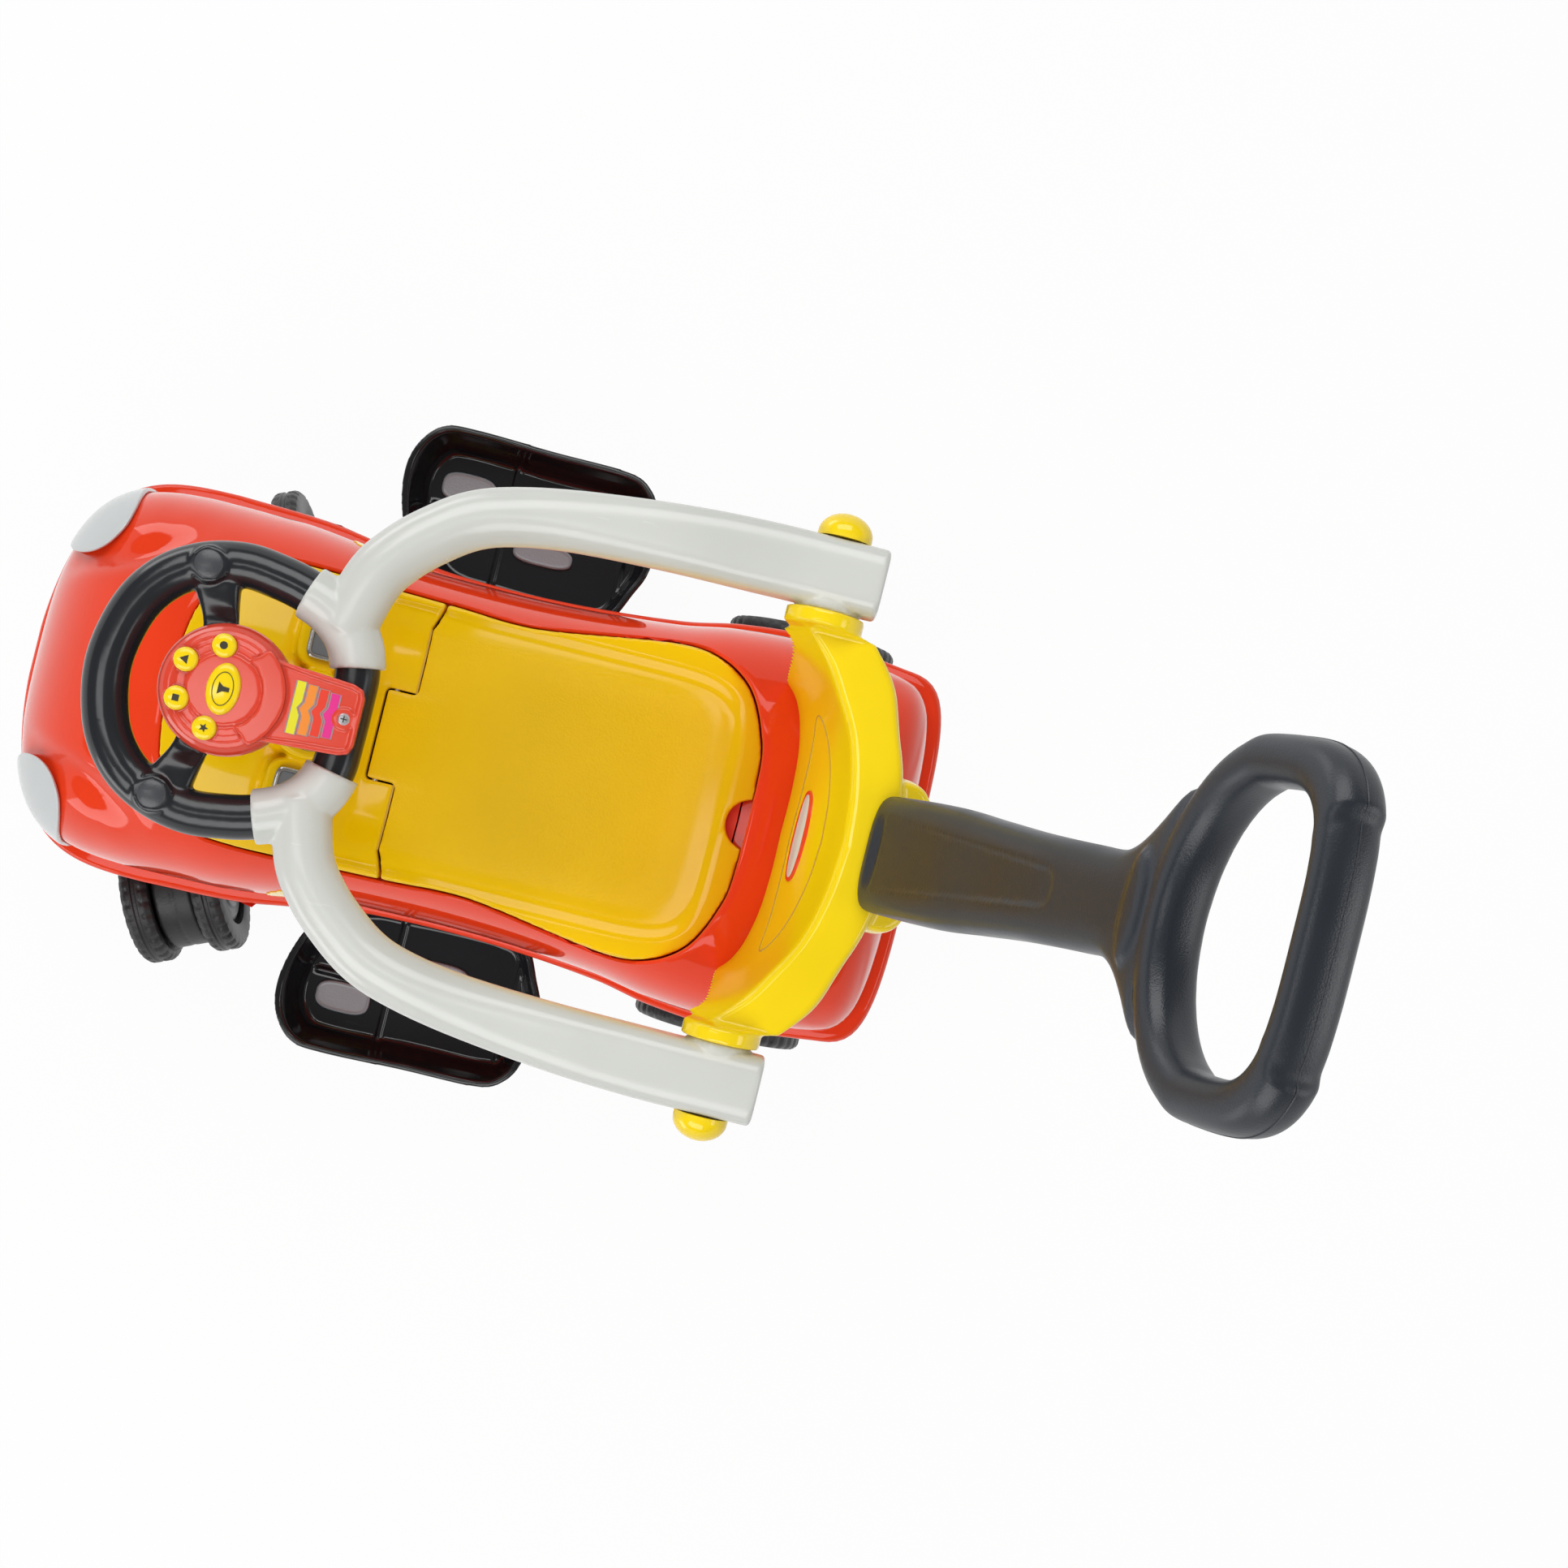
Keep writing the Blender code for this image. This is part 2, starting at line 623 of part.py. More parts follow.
def bin_outline(grow=0.0):
    """Outline of the storage bin's outer wall under the lid."""
    half = [p for p in SEAT_OUTLINE if p[0] < LID_FRONT_X - 0.02]
    limit = max(p[0] for p in half)
    side = max(p[1] for p in half if p[0] > limit - 1e-6)
    left = [p for p in half if p[1] > 1e-6]
    corner = LID_FRONT_X - 0.004
    ring = [(LID_REAR_X, 0.0)] + left + [(corner, side - 0.004), (corner + 0.004, side - 0.03),
                                        (corner + 0.004, 0.0)]
    return offset_outline(mirrored(ring), -(BIN_INSET + grow))


def pan_plate(grow=0.0):
    """Plate of the floor pan: narrow between the rear wheels and raised over the casters."""
    wheels_end = REAR_AXLE_X + REAR_WHEEL_RADIUS + ARCH_CLEARANCE + 0.002
    rear_end = TAIL_X + LEDGE_WIDTH + 0.012
    front_end = NOSE_X - 0.016
    stations = [rear_end, wheels_end, wheels_end + 0.004, 0.0, 0.043, 0.10, 0.145, 0.157, 0.170, 0.183]
    stations += [0.195, 0.23] + [mix(0.27, front_end, t) for t in (0.0, 0.3, 0.55, 0.75, 0.9, 1.0)]
    rings = []
    for x in stations:
        low = mix(PAN_HEIGHT, PAN_FRONT_HEIGHT, ease((x - 0.145) / 0.05))
        half = mix(upper_half(x, BODY_WALL) - 2.0 * GAP, flange_half(x) - 0.004, ease((x - 0.196) / 0.03))
        if x < wheels_end + 0.001:
            half = REAR_WHEEL_OUTER_Y - REAR_WHEEL_WIDTH - 0.018
        half += grow
        high = low + PAN_THICKNESS + grow
        low -= grow
        along = x + {rear_end: -grow, front_end: grow}.get(x, 0.0)
        rings.append([(along, -half, low), (along, half, low), (along, half, high), (along, -half, high)])
    return loft(rings)


def make_floor_pan():
    """Underside: a pan that rises over the casters, with axle lugs and caster sockets."""
    pan = place("floor_pan", pan_plate(), "black_gloss")
    low = REAR_WHEEL_RADIUS - 0.016
    lug = [(REAR_AXLE_X - 0.018, PAN_HEIGHT + 0.002), (REAR_AXLE_X - 0.012, low + 0.004),
           (REAR_AXLE_X - 0.006, low), (REAR_AXLE_X + 0.006, low), (REAR_AXLE_X + 0.012, low + 0.004),
           (REAR_AXLE_X + 0.018, PAN_HEIGHT + 0.002)]
    for _, side in SIDES:
        faces = [side * (AXLE_LUG_Y + k * 0.5 * AXLE_LUG_THICKNESS) for k in (-1.0, 1.0)]
        combine(pan, loft([[(x, y, z) for x, z in lug] for y in faces]), "UNION")
        combine(pan, rod(BUSH_RADIUS + GAP, AXLE_LUG_Y - 0.02, AXLE_LUG_Y + 0.02, 20, "Y",
                         (REAR_AXLE_X, (side - 1.0) * AXLE_LUG_Y, REAR_WHEEL_RADIUS)))
        spot = (CASTER_X, side * CASTER_Y, 0.0)
        combine(pan, rod(SOCKET_RADIUS, PAN_FRONT_HEIGHT, SOCKET_TOP, 16, "Z", spot), "UNION")
        combine(pan, rod(CASTER_STEM_RADIUS + RUNNING_FIT, 0.08, SOCKET_TOP - 0.003, 16, "Z", spot))
    return pan


def make_storage_bin():
    """Tub hung by its flange on the deck, under the seat lid."""
    flange_low = DECK_HEIGHT + GAP
    flange_top = flange_low + BIN_FLANGE
    bottom = PAN_HEIGHT + PAN_THICKNESS + GAP
    taper = 0.009
    levels = ((taper, bottom), (0.0, flange_low), (-0.007, flange_low), (-0.007, flange_top),
              (BIN_WALL, flange_top), (taper + BIN_WALL, bottom + BIN_WALL))
    rings = [[(x, y, z) for x, y in offset_outline(bin_outline(), -inset)] for inset, z in levels]
    return place("storage_bin", loft(rings), "red_gloss")


def make_seat_lid():
    """Hinged yellow seat with a tab that turns on the hinge pin and a finger notch."""
    under = DECK_HEIGHT + GAP + BIN_FLANGE + GAP
    block = relief(LID_REAR_X - 0.01, LID_FRONT_X, LID_HALF_WIDTH + 0.01, 10, 10, seat_surface, under)
    lid = place("seat_lid", block, "seat_yellow", (HINGE_X, 0.0, HINGE_Z))
    combine(lid, prism(SEAT_OUTLINE, 0.0, 0.4), "INTERSECT")
    for _, side in SIDES:
        corner = [(LID_FRONT_X + 0.01, side * 0.074), (LID_FRONT_X - 0.0002, side * 0.074),
                  (LID_FRONT_X - 0.005, side * 0.087), (LID_FRONT_X - 0.009, side * 0.12),
                  (LID_FRONT_X + 0.01, side * 0.12)]
        combine(lid, prism(corner, 0.0, 0.4))
        combine(lid, prism([(x - CORNER_RELIEF, y) for x, y in corner], 0.0, SEAT_HEIGHT - 0.0033))
    hinge = (HINGE_X, 0.0, HINGE_Z)
    tab_start = LID_FRONT_X - 0.02
    tab = loft([[(tab_start, y, under + 0.002), (HINGE_X, y, HINGE_Z - KNUCKLE_RADIUS),
                 (HINGE_X, y, HINGE_Z + KNUCKLE_RADIUS), (tab_start, y, seat_surface(0.08, 0.0) - 0.001)]
                for y in (-TAB_HALF_WIDTH, TAB_HALF_WIDTH)])
    combine(lid, tab, "UNION")
    combine(lid, rod(KNUCKLE_RADIUS, -TAB_HALF_WIDTH, TAB_HALF_WIDTH, 20, "Y", hinge), "UNION")
    notch = (LID_REAR_X + 0.0015 - NOTCH_RADIUS * 0.25, 0.0, 0.0)
    combine(lid, rod(NOTCH_RADIUS, 0.0, 0.4, 20, "Z", notch))
    combine(lid, rod(PIN_RADIUS + RUNNING_FIT, -0.05, 0.05, 14, "Y", hinge))
    return lid


def make_dash_panel():
    """Fixed yellow panel: seat front with the hinge pocket, and the raised dash with its pods."""
    under = DECK_HEIGHT + GAP
    rear = LID_FRONT_X + PARTING_GAP - 0.012
    block = relief(rear, PANEL_FRONT_X + 0.01, LID_HALF_WIDTH + 0.01, 12, 10, dash_surface, under)
    panel = place("dash_panel", block, "seat_yellow")
    combine(panel, prism(SEAT_OUTLINE, 0.0, 0.4), "INTERSECT")
    edge = LID_FRONT_X + PARTING_GAP
    corner = [(edge, 0.074), (edge - 0.005, 0.087), (edge - 0.009, 0.12), (edge - 0.009, 0.2),
              (rear - 0.01, 0.2)]
    lid_space = [(x, -y) for x, y in reversed(corner)] + corner
    combine(panel, prism(lid_space, 0.0, 0.4))
    pocket_y = TAB_HALF_WIDTH + 0.0006
    pocket_x = HINGE_X + KNUCKLE_RADIUS + 0.0008
    pocket = [(edge - 0.01, -pocket_y), (pocket_x, -pocket_y), (pocket_x, pocket_y), (edge - 0.01, pocket_y)]
    combine(panel, prism(pocket, 0.0, 0.4))
    combine(panel, moved(rod(POD_RADIUS, -0.02, 0.0, 20), pod_matrix(GAUGE_SPOT)), "UNION")
    for _, side in SIDES:
        spot = (WINDOW_SPOT[0], side * WINDOW_SPOT[1], WINDOW_SPOT[2])
        outline = rounded(WINDOW_HALF_X + 0.004, WINDOW_HALF_Y + 0.004, 5.0, 12)
        combine(panel, moved(prism(outline, -0.018, 0.0), pod_matrix(spot)), "UNION")
        middle = (HINGE_X, side * (TAB_HALF_WIDTH + 0.5 * PIN_REACH), HINGE_Z)
        half = 0.5 * PIN_REACH + 0.001
        combine(panel, rod(PIN_RADIUS + GAP, -half, half, 14, "Y", middle))
    hollow = offset_outline([p for p in SEAT_OUTLINE if p[0] > 0.135], -0.006)
    combine(panel, prism(hollow, under - 0.01, DECK_HEIGHT + 0.010))
    combine(panel, moved(rod(COLUMN_RADIUS + GAP, -0.25, 0.0, 20), steering_matrix()))
    return panel


def pod_matrix(spot):
    return Matrix.Translation(spot) @ Matrix.Rotation(-POD_TILT, 4, "Y")


def steering_matrix():
    return Matrix.Translation((HUB_X, 0.0, HUB_Z)) @ Matrix.Rotation(-WHEEL_TILT, 4, "Y")


def make_dash_trims():
    """Round gauge and two window frames, seated on their pods."""
    profile = [(0.0, GAP), (GAUGE_RADIUS, GAP), (GAUGE_RADIUS, 0.003), (GAUGE_RADIUS - 0.0015, 0.0045),
               (GAUGE_RADIUS - 0.004, 0.0045), (GAUGE_RADIUS - 0.0055, 0.002), (0.0, 0.0025)]
    place("dash_gauge", moved(turned(profile, 20), pod_matrix(GAUGE_SPOT)), "silver_trim")
    ring = [(0.0, GAP), (0.0, 0.0028), (0.003, 0.0028), (0.0045, 0.0012)]
    for name, side in SIDES:
        spot = (WINDOW_SPOT[0], side * WINDOW_SPOT[1], WINDOW_SPOT[2])
        rings = [[(x, y, z) for x, y in offset_outline(rounded(WINDOW_HALF_X, WINDOW_HALF_Y, 5.0, 12), -d)]
                 for d, z in ring]
        place("dash_window_" + name, moved(loft(rings), pod_matrix(spot)), "silver_trim")


def make_hinge_pin():
    reach = TAB_HALF_WIDTH + PIN_REACH
    place("seat_hinge_pin", rod(PIN_RADIUS, -reach, reach, 14, "Y", (HINGE_X, 0.0, HINGE_Z)), "steel",
          (HINGE_X, 0.0, HINGE_Z))


# Ring of the steering wheel in its own plane, from its front round its left side to the bar
RING_HALF = [(0.068, 0.0), (0.062, 0.032), (0.049, 0.053), (0.030, 0.066), (0.008, 0.0715),
             (-0.012, 0.070), (-0.030, 0.066), (-0.047, 0.0585), (-0.060, 0.046), (-0.0665, 0.030),
             (-0.0675, 0.010)]
RING_STEPS = 2
BAR_X = RING_HALF[-1][0]
# Each spoke: distance out, place along the car, half width and half thickness
SPOKE_STATIONS = ((0.025, 0.011, 0.010, 0.0027), (HUB_RADIUS + 0.001, 0.014, 0.0105, 0.0027),
                  (0.048, 0.0175, 0.0120, 0.0065), (0.062, 0.022, 0.0145, 0.0085),
                  (0.071, 0.022, 0.0140, 0.0085))


def ring_path():
    points = RING_HALF + [(x, -y) for x, y in reversed(RING_HALF[1:])]
    return [(x, y, 0.0) for x, y in smooth_path(points, RING_STEPS, closed=True)]


def round_section(radius, count=8):
    ring = rounded(radius, radius, 2.0, count)
    return lambda i: ring


def make_steering_wheel(frame):
    """Black ring with two spokes and a centre plate, and the mouldings that sit on it."""
    wheel = place("steering_ring", sweep(ring_path(), round_section(RING_TUBE_RADIUS), closed=True),
                  "black_gloss", parent=frame)
    combine(wheel, rod(HUB_RADIUS - 0.003, -0.003, 0.003, 28), "UNION")
    for _, side in SIDES:
        rings = []
        for y, centre, half, thick in SPOKE_STATIONS:
            ring = rounded(half, thick, 4.0, 12)
            rings.append([(centre + a, side * y, b) for a, b in ring])
        combine(wheel, loft(rings), "UNION")
        spot = (CAP_SPOT[0], side * CAP_SPOT[1], 0.0)
        combine(wheel, rod(CAP_RADIUS + 0.0022, 0.0, CAP_TOP - 0.0006, 20, "Z", spot), "UNION")
        combine(wheel, rod(CAP_RADIUS + GAP, CAP_TOP - 0.003, CAP_TOP + 0.01, 20, "Z", spot))
    combine(wheel, rod(SCREW_RADIUS + GAP, RING_TUBE_RADIUS - 0.009, RING_TUBE_RADIUS + 0.01, 12, "Z",
                       (BAR_X, 0.0, 0.0)))
    for name, side in SIDES:
        spot = (CAP_SPOT[0], side * CAP_SPOT[1], 0.0)
        place("ring_cap_" + name, rod(CAP_RADIUS, CAP_TOP - 0.003 + GAP, CAP_TOP, 20, "Z", spot),
              "grey_plastic", parent=frame)


def make_hub(frame):
    """Red button housing with its arm over the bar, and what is inside and under it."""
    profile = [(0.0, PLATE_TOP + GAP), (HUB_RADIUS - 0.0015, PLATE_TOP + GAP), (HUB_RADIUS, 0.008),
               (HUB_RADIUS, 0.016), (HUB_RADIUS - 0.0012, 0.0215), (HUB_RADIUS - 0.0045, 0.0258),
               (HUB_RADIUS - 0.008, HUB_TOP), (0.0, HUB_TOP)]
    cover = place("hub_cover", turned(profile, 24), "hub_red", parent=frame)
    arm_low = RING_TUBE_RADIUS + GAP
    arm = [(-0.018, TONGUE_HALF_WIDTH + 0.002), (-0.045, TONGUE_HALF_WIDTH + 0.0005),
           (ARM_END_X + 0.008, TONGUE_HALF_WIDTH - 0.001), (ARM_END_X + 0.002, TONGUE_HALF_WIDTH - 0.0035),
           (ARM_END_X, TONGUE_HALF_WIDTH - 0.009)]
    outline = arm + [(x, -y) for x, y in reversed(arm)]
    combine(cover, prism(outline, arm_low, HUB_TOP - 0.0005), "UNION")
    crescent = ([polar(HUB_RADIUS - 0.005, a) for a in range(128, 233, 13)]
                + [polar(0.0225, a) for a in range(238, 121, -13)])
    combine(cover, prism(crescent, HUB_TOP - 0.004, HUB_TOP + 0.003), "UNION")
    combine(cover, rod(HUB_RADIUS - HUB_WALL, 0.0, CEILING, 20))
    for x, y in BUTTON_SPOTS.values():
        combine(cover, rod(BUTTON_RADIUS + GAP, CEILING - 0.002, HUB_TOP + 0.01, 14, "Z", (x, y, 0.0)))
    horn_hole = rounded(HORN_HALF_WIDTH + GAP, HORN_HALF_LENGTH + GAP, 2.0, 16)
    combine(cover, prism(horn_hole, CEILING - 0.002, HUB_TOP + 0.01))
    combine(cover, rod(SCREW_RADIUS + GAP, 0.0, 0.05, 12, "Z", (BAR_X, 0.0, 0.0)))
    combine(cover, rod(SCREW_HEAD_RADIUS + 0.0012, HUB_TOP - 0.004, 0.05, 16, "Z", (BAR_X, 0.0, 0.0)))
    for name, (x, y) in BUTTON_SPOTS.items():
        stem = [(0.0, CEILING - 0.0023), (BUTTON_RADIUS + BUTTON_FLANGE, CEILING - 0.0023),
                (BUTTON_RADIUS + BUTTON_FLANGE, CEILING - GAP), (BUTTON_RADIUS, CEILING - GAP),
                (BUTTON_RADIUS, HUB_TOP + 0.0016), (BUTTON_RADIUS - 0.0012, HUB_TOP + 0.0028),
                (0.0, HUB_TOP + 0.0034)]
        place(name, turned(stem, 14, "Z", (x, y, 0.0)), "bright_yellow", (x, y, HUB_TOP), frame)
    levels = ((BUTTON_FLANGE, CEILING - 0.0023), (BUTTON_FLANGE, CEILING - GAP), (0.0, CEILING - GAP),
              (0.0, HUB_TOP + 0.0018), (-0.0014, HUB_TOP + 0.0030), (-0.005, HUB_TOP + 0.0037))
    rings = [[(x, y, z) for x, y in rounded(HORN_HALF_WIDTH + d, HORN_HALF_LENGTH + d, 2.0, 16)]
             for d, z in levels]
    place("horn_button", loft(rings), "bright_yellow", (0.0, 0.0, HUB_TOP), frame)
    board = place("circuit_board", rod(HUB_RADIUS - 0.007, PLATE_TOP + GAP, PLATE_TOP + 0.0019, 24),
                  "board_green", parent=frame)
    for x, y in list(BUTTON_SPOTS.values()) + [(0.0, 0.0)]:
        combine(board, rod(0.003, PLATE_TOP + 0.001, POST_TOP, 8, "Z", (x, y, 0.0)), "UNION")
    head = [(0.0, RING_TUBE_RADIUS - 0.0085), (SCREW_RADIUS, RING_TUBE_RADIUS - 0.0085),
            (SCREW_RADIUS, HUB_TOP - 0.004 + GAP), (SCREW_HEAD_RADIUS, HUB_TOP - 0.004 + GAP),
            (SCREW_HEAD_RADIUS, HUB_TOP - 0.0022), (SCREW_HEAD_RADIUS - 0.001, HUB_TOP - 0.0014),
            (0.0, HUB_TOP - 0.0012)]
    place("hub_screw", turned(head, 12, "Z", (BAR_X, 0.0, 0.0)), "steel", parent=frame)
    base_low = -0.034
    base = [(0.0, -PLATE_TOP - GAP), (HUB_RADIUS - 0.0035, -PLATE_TOP - GAP), (HUB_RADIUS - 0.005, -0.014),
            (HUB_RADIUS - 0.012, -0.028), (HUB_RADIUS - 0.016, base_low), (0.0, base_low)]
    lower = place("hub_base", turned(base, 20), "black_gloss", parent=frame)
    combine(lower, rod(SPEAKER_RADIUS + GAP, -0.020, 0.0, 24))
    speaker = [(0.0, -0.0195), (0.009, -0.0195), (0.009, -0.014), (SPEAKER_RADIUS, -0.0065),
               (SPEAKER_RADIUS, -PLATE_TOP - 2.0 * GAP), (0.0, -PLATE_TOP - 2.0 * GAP)]
    place("speaker", turned(speaker, 16), "charcoal", parent=frame)
    reach = (HUB_Z - DECK_HEIGHT - 2.0 * GAP - COLUMN_RADIUS * math.sin(WHEEL_TILT)) / math.cos(WHEEL_TILT)
    place("steering_column", rod(COLUMN_RADIUS, -reach, base_low - GAP, 20), "black_gloss", parent=frame)


def polar(radius, degrees):
    turn = math.radians(degrees)
    return (radius * math.cos(turn), radius * math.sin(turn))


def make_rail(name, side):
    """White tube from the steering wheel's corner back to the backrest's collar."""
    path = ring_path()
    count = len(path)
    lift = steering_matrix()
    first, last = 6 * RING_STEPS, 9 * RING_STEPS
    inner = [lift @ Vector((x, side * y, z)) for x, y, z in path[first - 1:last + 2]]
    up = lift.to_3x3() @ Vector((0.0, 0.0, 1.0))
    sleeve_radius = RING_TUBE_RADIUS + GAP + SLEEVE_WALL
    corner = lift @ Vector((path[8 * RING_STEPS][0] + 0.006, side * (path[8 * RING_STEPS][1] + 0.004), 0.0))
    route = [tuple(corner), (0.104, side * 0.082, 0.3965), (0.092, side * 0.100, 0.396),
             (0.077, side * 0.1145, 0.395), (0.058, side * 0.128, 0.394), (0.036, side * 0.136, 0.393),
             (0.000, side * 0.1425, 0.391), (-0.058, side * (RAIL_Y - 0.002), 0.388),
             (-0.113, side * RAIL_Y, COLLAR_Z), (COLLAR_X, side * RAIL_Y, COLLAR_Z),
             (COLLAR_X - 0.023, side * RAIL_Y, COLLAR_Z), (COLLAR_X - 0.029, side * RAIL_Y, COLLAR_Z)]
    points = smooth_path(route[:9], 2) + route[9:]

    def section(i):
        x = points[i][0]
        t = ease((0.05 - x) / 0.17)
        end = 0.84 if i == len(points) - 1 else 1.0
        return rounded(mix(RAIL_RADIUS, 0.0202, t) * end, mix(RAIL_RADIUS, 0.0215, t) * end,
                       mix(2.0, 4.5, t), 10)

    rail = place(name, sweep(points, section), "off_white")
    combine(rail, sweep(inner[1:-1], round_section(sleeve_radius), up), "UNION")
    combine(rail, rod(0.019, COLLAR_END_Y + GAP, RAIL_Y, 20, "Y",
                      (COLLAR_X, 0.0 if side > 0 else -COLLAR_END_Y - GAP - RAIL_Y, COLLAR_Z)), "UNION")
    combine(rail, sweep(inner, round_section(RING_TUBE_RADIUS + GAP), up))
    reach = side * RAIL_Y
    combine(rail, rod(KNOB_PIN_RADIUS + GAP, -0.04, 0.04, 16, "Y", (COLLAR_X, reach, COLLAR_Z)))
    return rail


def make_knob(name, side):
    """Dome-headed pin that holds the rail to the backrest."""
    outer = RAIL_Y + 0.0202 + GAP
    tip = COLLAR_END_Y - 0.010
    profile = [(0.0, tip), (KNOB_PIN_RADIUS, tip), (KNOB_PIN_RADIUS, outer), (KNOB_RADIUS, outer)]
    profile += [(KNOB_RADIUS * share, outer + rise) for share, rise in
                ((1.0, 0.004), (0.9, 0.0085), (0.7, 0.0122), (0.36, 0.0148), (0.0, 0.0156))]
    shape = turned(profile, 16, "Y", (COLLAR_X, 0.0, COLLAR_Z))
    if side < 0.0:
        moved(shape, Matrix.Scale(-1.0, 4, (0.0, 1.0, 0.0)))
    place(name, shape, "bright_yellow", (COLLAR_X, 0.0, COLLAR_Z))


# How far forward the backrest's foot and its top edge have come at each distance from the middle
BACKREST_BOW = ((0.0, 0.0), (0.03, -0.001), (0.06, 0.0), (0.085, 0.006), (0.10, 0.020), (0.115, 0.042))
BACKREST_TOP_BOW = ((0.0, 0.0), (0.03, 0.003), (0.06, 0.011), (0.085, 0.025), (0.10, 0.035), (0.115, 0.048))


def backrest_section(y, count=14):
    """Cross-section of the backrest at one side distance: a leaning slab that ends as a collar."""
    a = abs(y)
    bow = curve_value(a, BACKREST_BOW)
    top_bow = curve_value(a, BACKREST_TOP_BOW)
    floor = mix(TAIL_HEIGHT - 0.004, COLLAR_Z - COLLAR_RADIUS, ease((a - 0.092) / 0.022))
    lean = 0.042
    front_low = COLLAR_X + bow + 0.002 - lean * 0.5 * ease((a - 0.092) / 0.022)
    front_top = COLLAR_X - lean + top_bow
    thick = BACKREST_THICKNESS + 0.008 * ease((a - 0.06) / 0.04)
    corners = ((front_low, floor), (front_top, BACKREST_TOP),
               (front_top - thick, BACKREST_TOP - 0.003), (front_low - 0.048, floor))
    ring = []
    for u, v in rounded(1.0, 1.0, 7.0, count):
        s, t = 0.5 + 0.5 * u, 0.5 + 0.5 * v
        x = mix(mix(corners[3][0], corners[0][0], s), mix(corners[2][0], corners[1][0], s), t)
        z = mix(mix(corners[3][1], corners[0][1], s), mix(corners[2][1], corners[1][1], s), t)
        ring.append((x, z))
    collar = [(COLLAR_X + x, COLLAR_Z + z) for x, z in rounded(COLLAR_RADIUS, COLLAR_RADIUS, 2.0, count)]
    t = ease((a - 0.110) / 0.0085)
    return [(mix(p[0], q[0], t), mix(p[1], q[1], t)) for p, q in zip(ring, collar)]


HANDLE_UP = Vector((-math.sin(HANDLE_LEAN), 0.0, math.cos(HANDLE_LEAN)))
HANDLE_FRONT = Vector((math.cos(HANDLE_LEAN), 0.0, math.sin(HANDLE_LEAN)))
HANDLE_FOOT = Vector((HANDLE_BASE_X, 0.0, HANDLE_BASE_Z))


def handle_point(across, along, forward):
    """Point in the push handle's own leaning plane."""
    return HANDLE_FOOT + HANDLE_UP * along + HANDLE_FRONT * forward + Vector((0.0, across, 0.0))


def make_backrest():
    """Yellow backrest: a bowed leaning slab, collars for the rails and a socket for the handle."""
    half = (0.0, 0.030, 0.055, 0.075, 0.090, 0.100, 0.107, 0.1115, 0.1145, 0.119, COLLAR_END_Y - 0.0015)
    stations = [-y for y in reversed(half[1:])] + list(half)
    rings = [[(x, y, z) for x, z in backrest_section(y)] for y in stations]
    for end, y in ((0, -COLLAR_END_Y), (-1, COLLAR_END_Y)):
        disc = [(COLLAR_X + x, y, COLLAR_Z + z)
                for x, z in rounded(COLLAR_RADIUS - 0.0015, COLLAR_RADIUS - 0.0015, 2.0, 14)]
        if end == 0:
            rings.insert(0, disc)
        else:
            rings.append(disc)
    back = place("backrest", loft(rings), "bright_yellow")
    socket = []
    low_stations = ((-0.206, 0.235, 0.024, SOCKET_HALF_WIDTH - 0.004),
                    (-0.214, 0.31, 0.027, SOCKET_HALF_WIDTH), (-0.217, 0.355, 0.026, SOCKET_HALF_WIDTH))
    for x, z, depth, width in low_stations:
        socket.append([(x + b, a, z) for a, b in rounded(width, depth, 3.0, 16)])
    for inset, drop in ((0.0, 0.012), (0.004, 0.001)):
        socket.append([handle_point(a, -drop, b - 0.006)
                       for a, b in rounded(SOCKET_HALF_WIDTH - inset, 0.024 - inset, 3.0, 16)])
    combine(back, loft(socket), "UNION")
    combine(back, tongue_shape(GAP, TONGUE_DEPTH + 0.002))
    seat = rounded(NECK_BASE_HALF_WIDTH + 2.0 * GAP, 0.5 * HANDLE_THICKNESS + 2.0 * GAP, 3.2, 12)
    combine(back, loft([[handle_point(a, s, b) for a, b in seat] for s in (-GAP, 0.06)]))
    combine(back, flange_solid(GAP))
    combine(back, grown(upper_solid(), GAP * 1.3))
    for _, side in SIDES:
        combine(back, rod(KNOB_PIN_RADIUS + GAP, -0.011, 0.011, 16, "Y",
                          (COLLAR_X, side * COLLAR_END_Y, COLLAR_Z)))
    combine(back, moved(rod(BOLT_RADIUS + GAP, -0.016, 0.08, 12), bolt_frame()))
    combine(back, moved(rod(BOLT_HEAD_RADIUS + 0.0015, BOLT_SEAT, 0.08, 14), bolt_frame()))
    return back


def grown(shape, distance):
    """Move every point of a closed shape out along its surface."""
    bmesh.ops.recalc_face_normals(shape, faces=shape.faces)
    shape.normal_update()
    for vert in shape.verts:
        vert.co += vert.normal * distance
    return shape


def bolt_frame():
    """Place of the handle's bolt: across the tongue, its head towards the rear."""
    back = Matrix.Rotation(-math.pi / 2 - HANDLE_LEAN, 4, "Y")
    return Matrix.Translation(handle_point(0.0, -0.045, 0.0)) @ back


def tongue_shape(grow, depth):
    """The flat tongue under the handle's neck that goes down into the backrest."""
    return loft([[handle_point(a, s, b) for a, b in rounded(0.026 + grow, 0.009 + grow, 4.0, 16)]
                 for s in (-depth, 0.01)])


def loop_point(turn, half_width, half_length):
    """Point on the grip loop's outline: an ellipse below, squarer at the grip bar."""
    c, s = math.cos(turn), math.sin(turn)
    power = 2.0 / mix(2.0, 3.5, ease(0.5 + 1.5 * s))
    return (half_width * math.copysign(abs(c) ** power, c), half_length * math.copysign(abs(s) ** power, s))


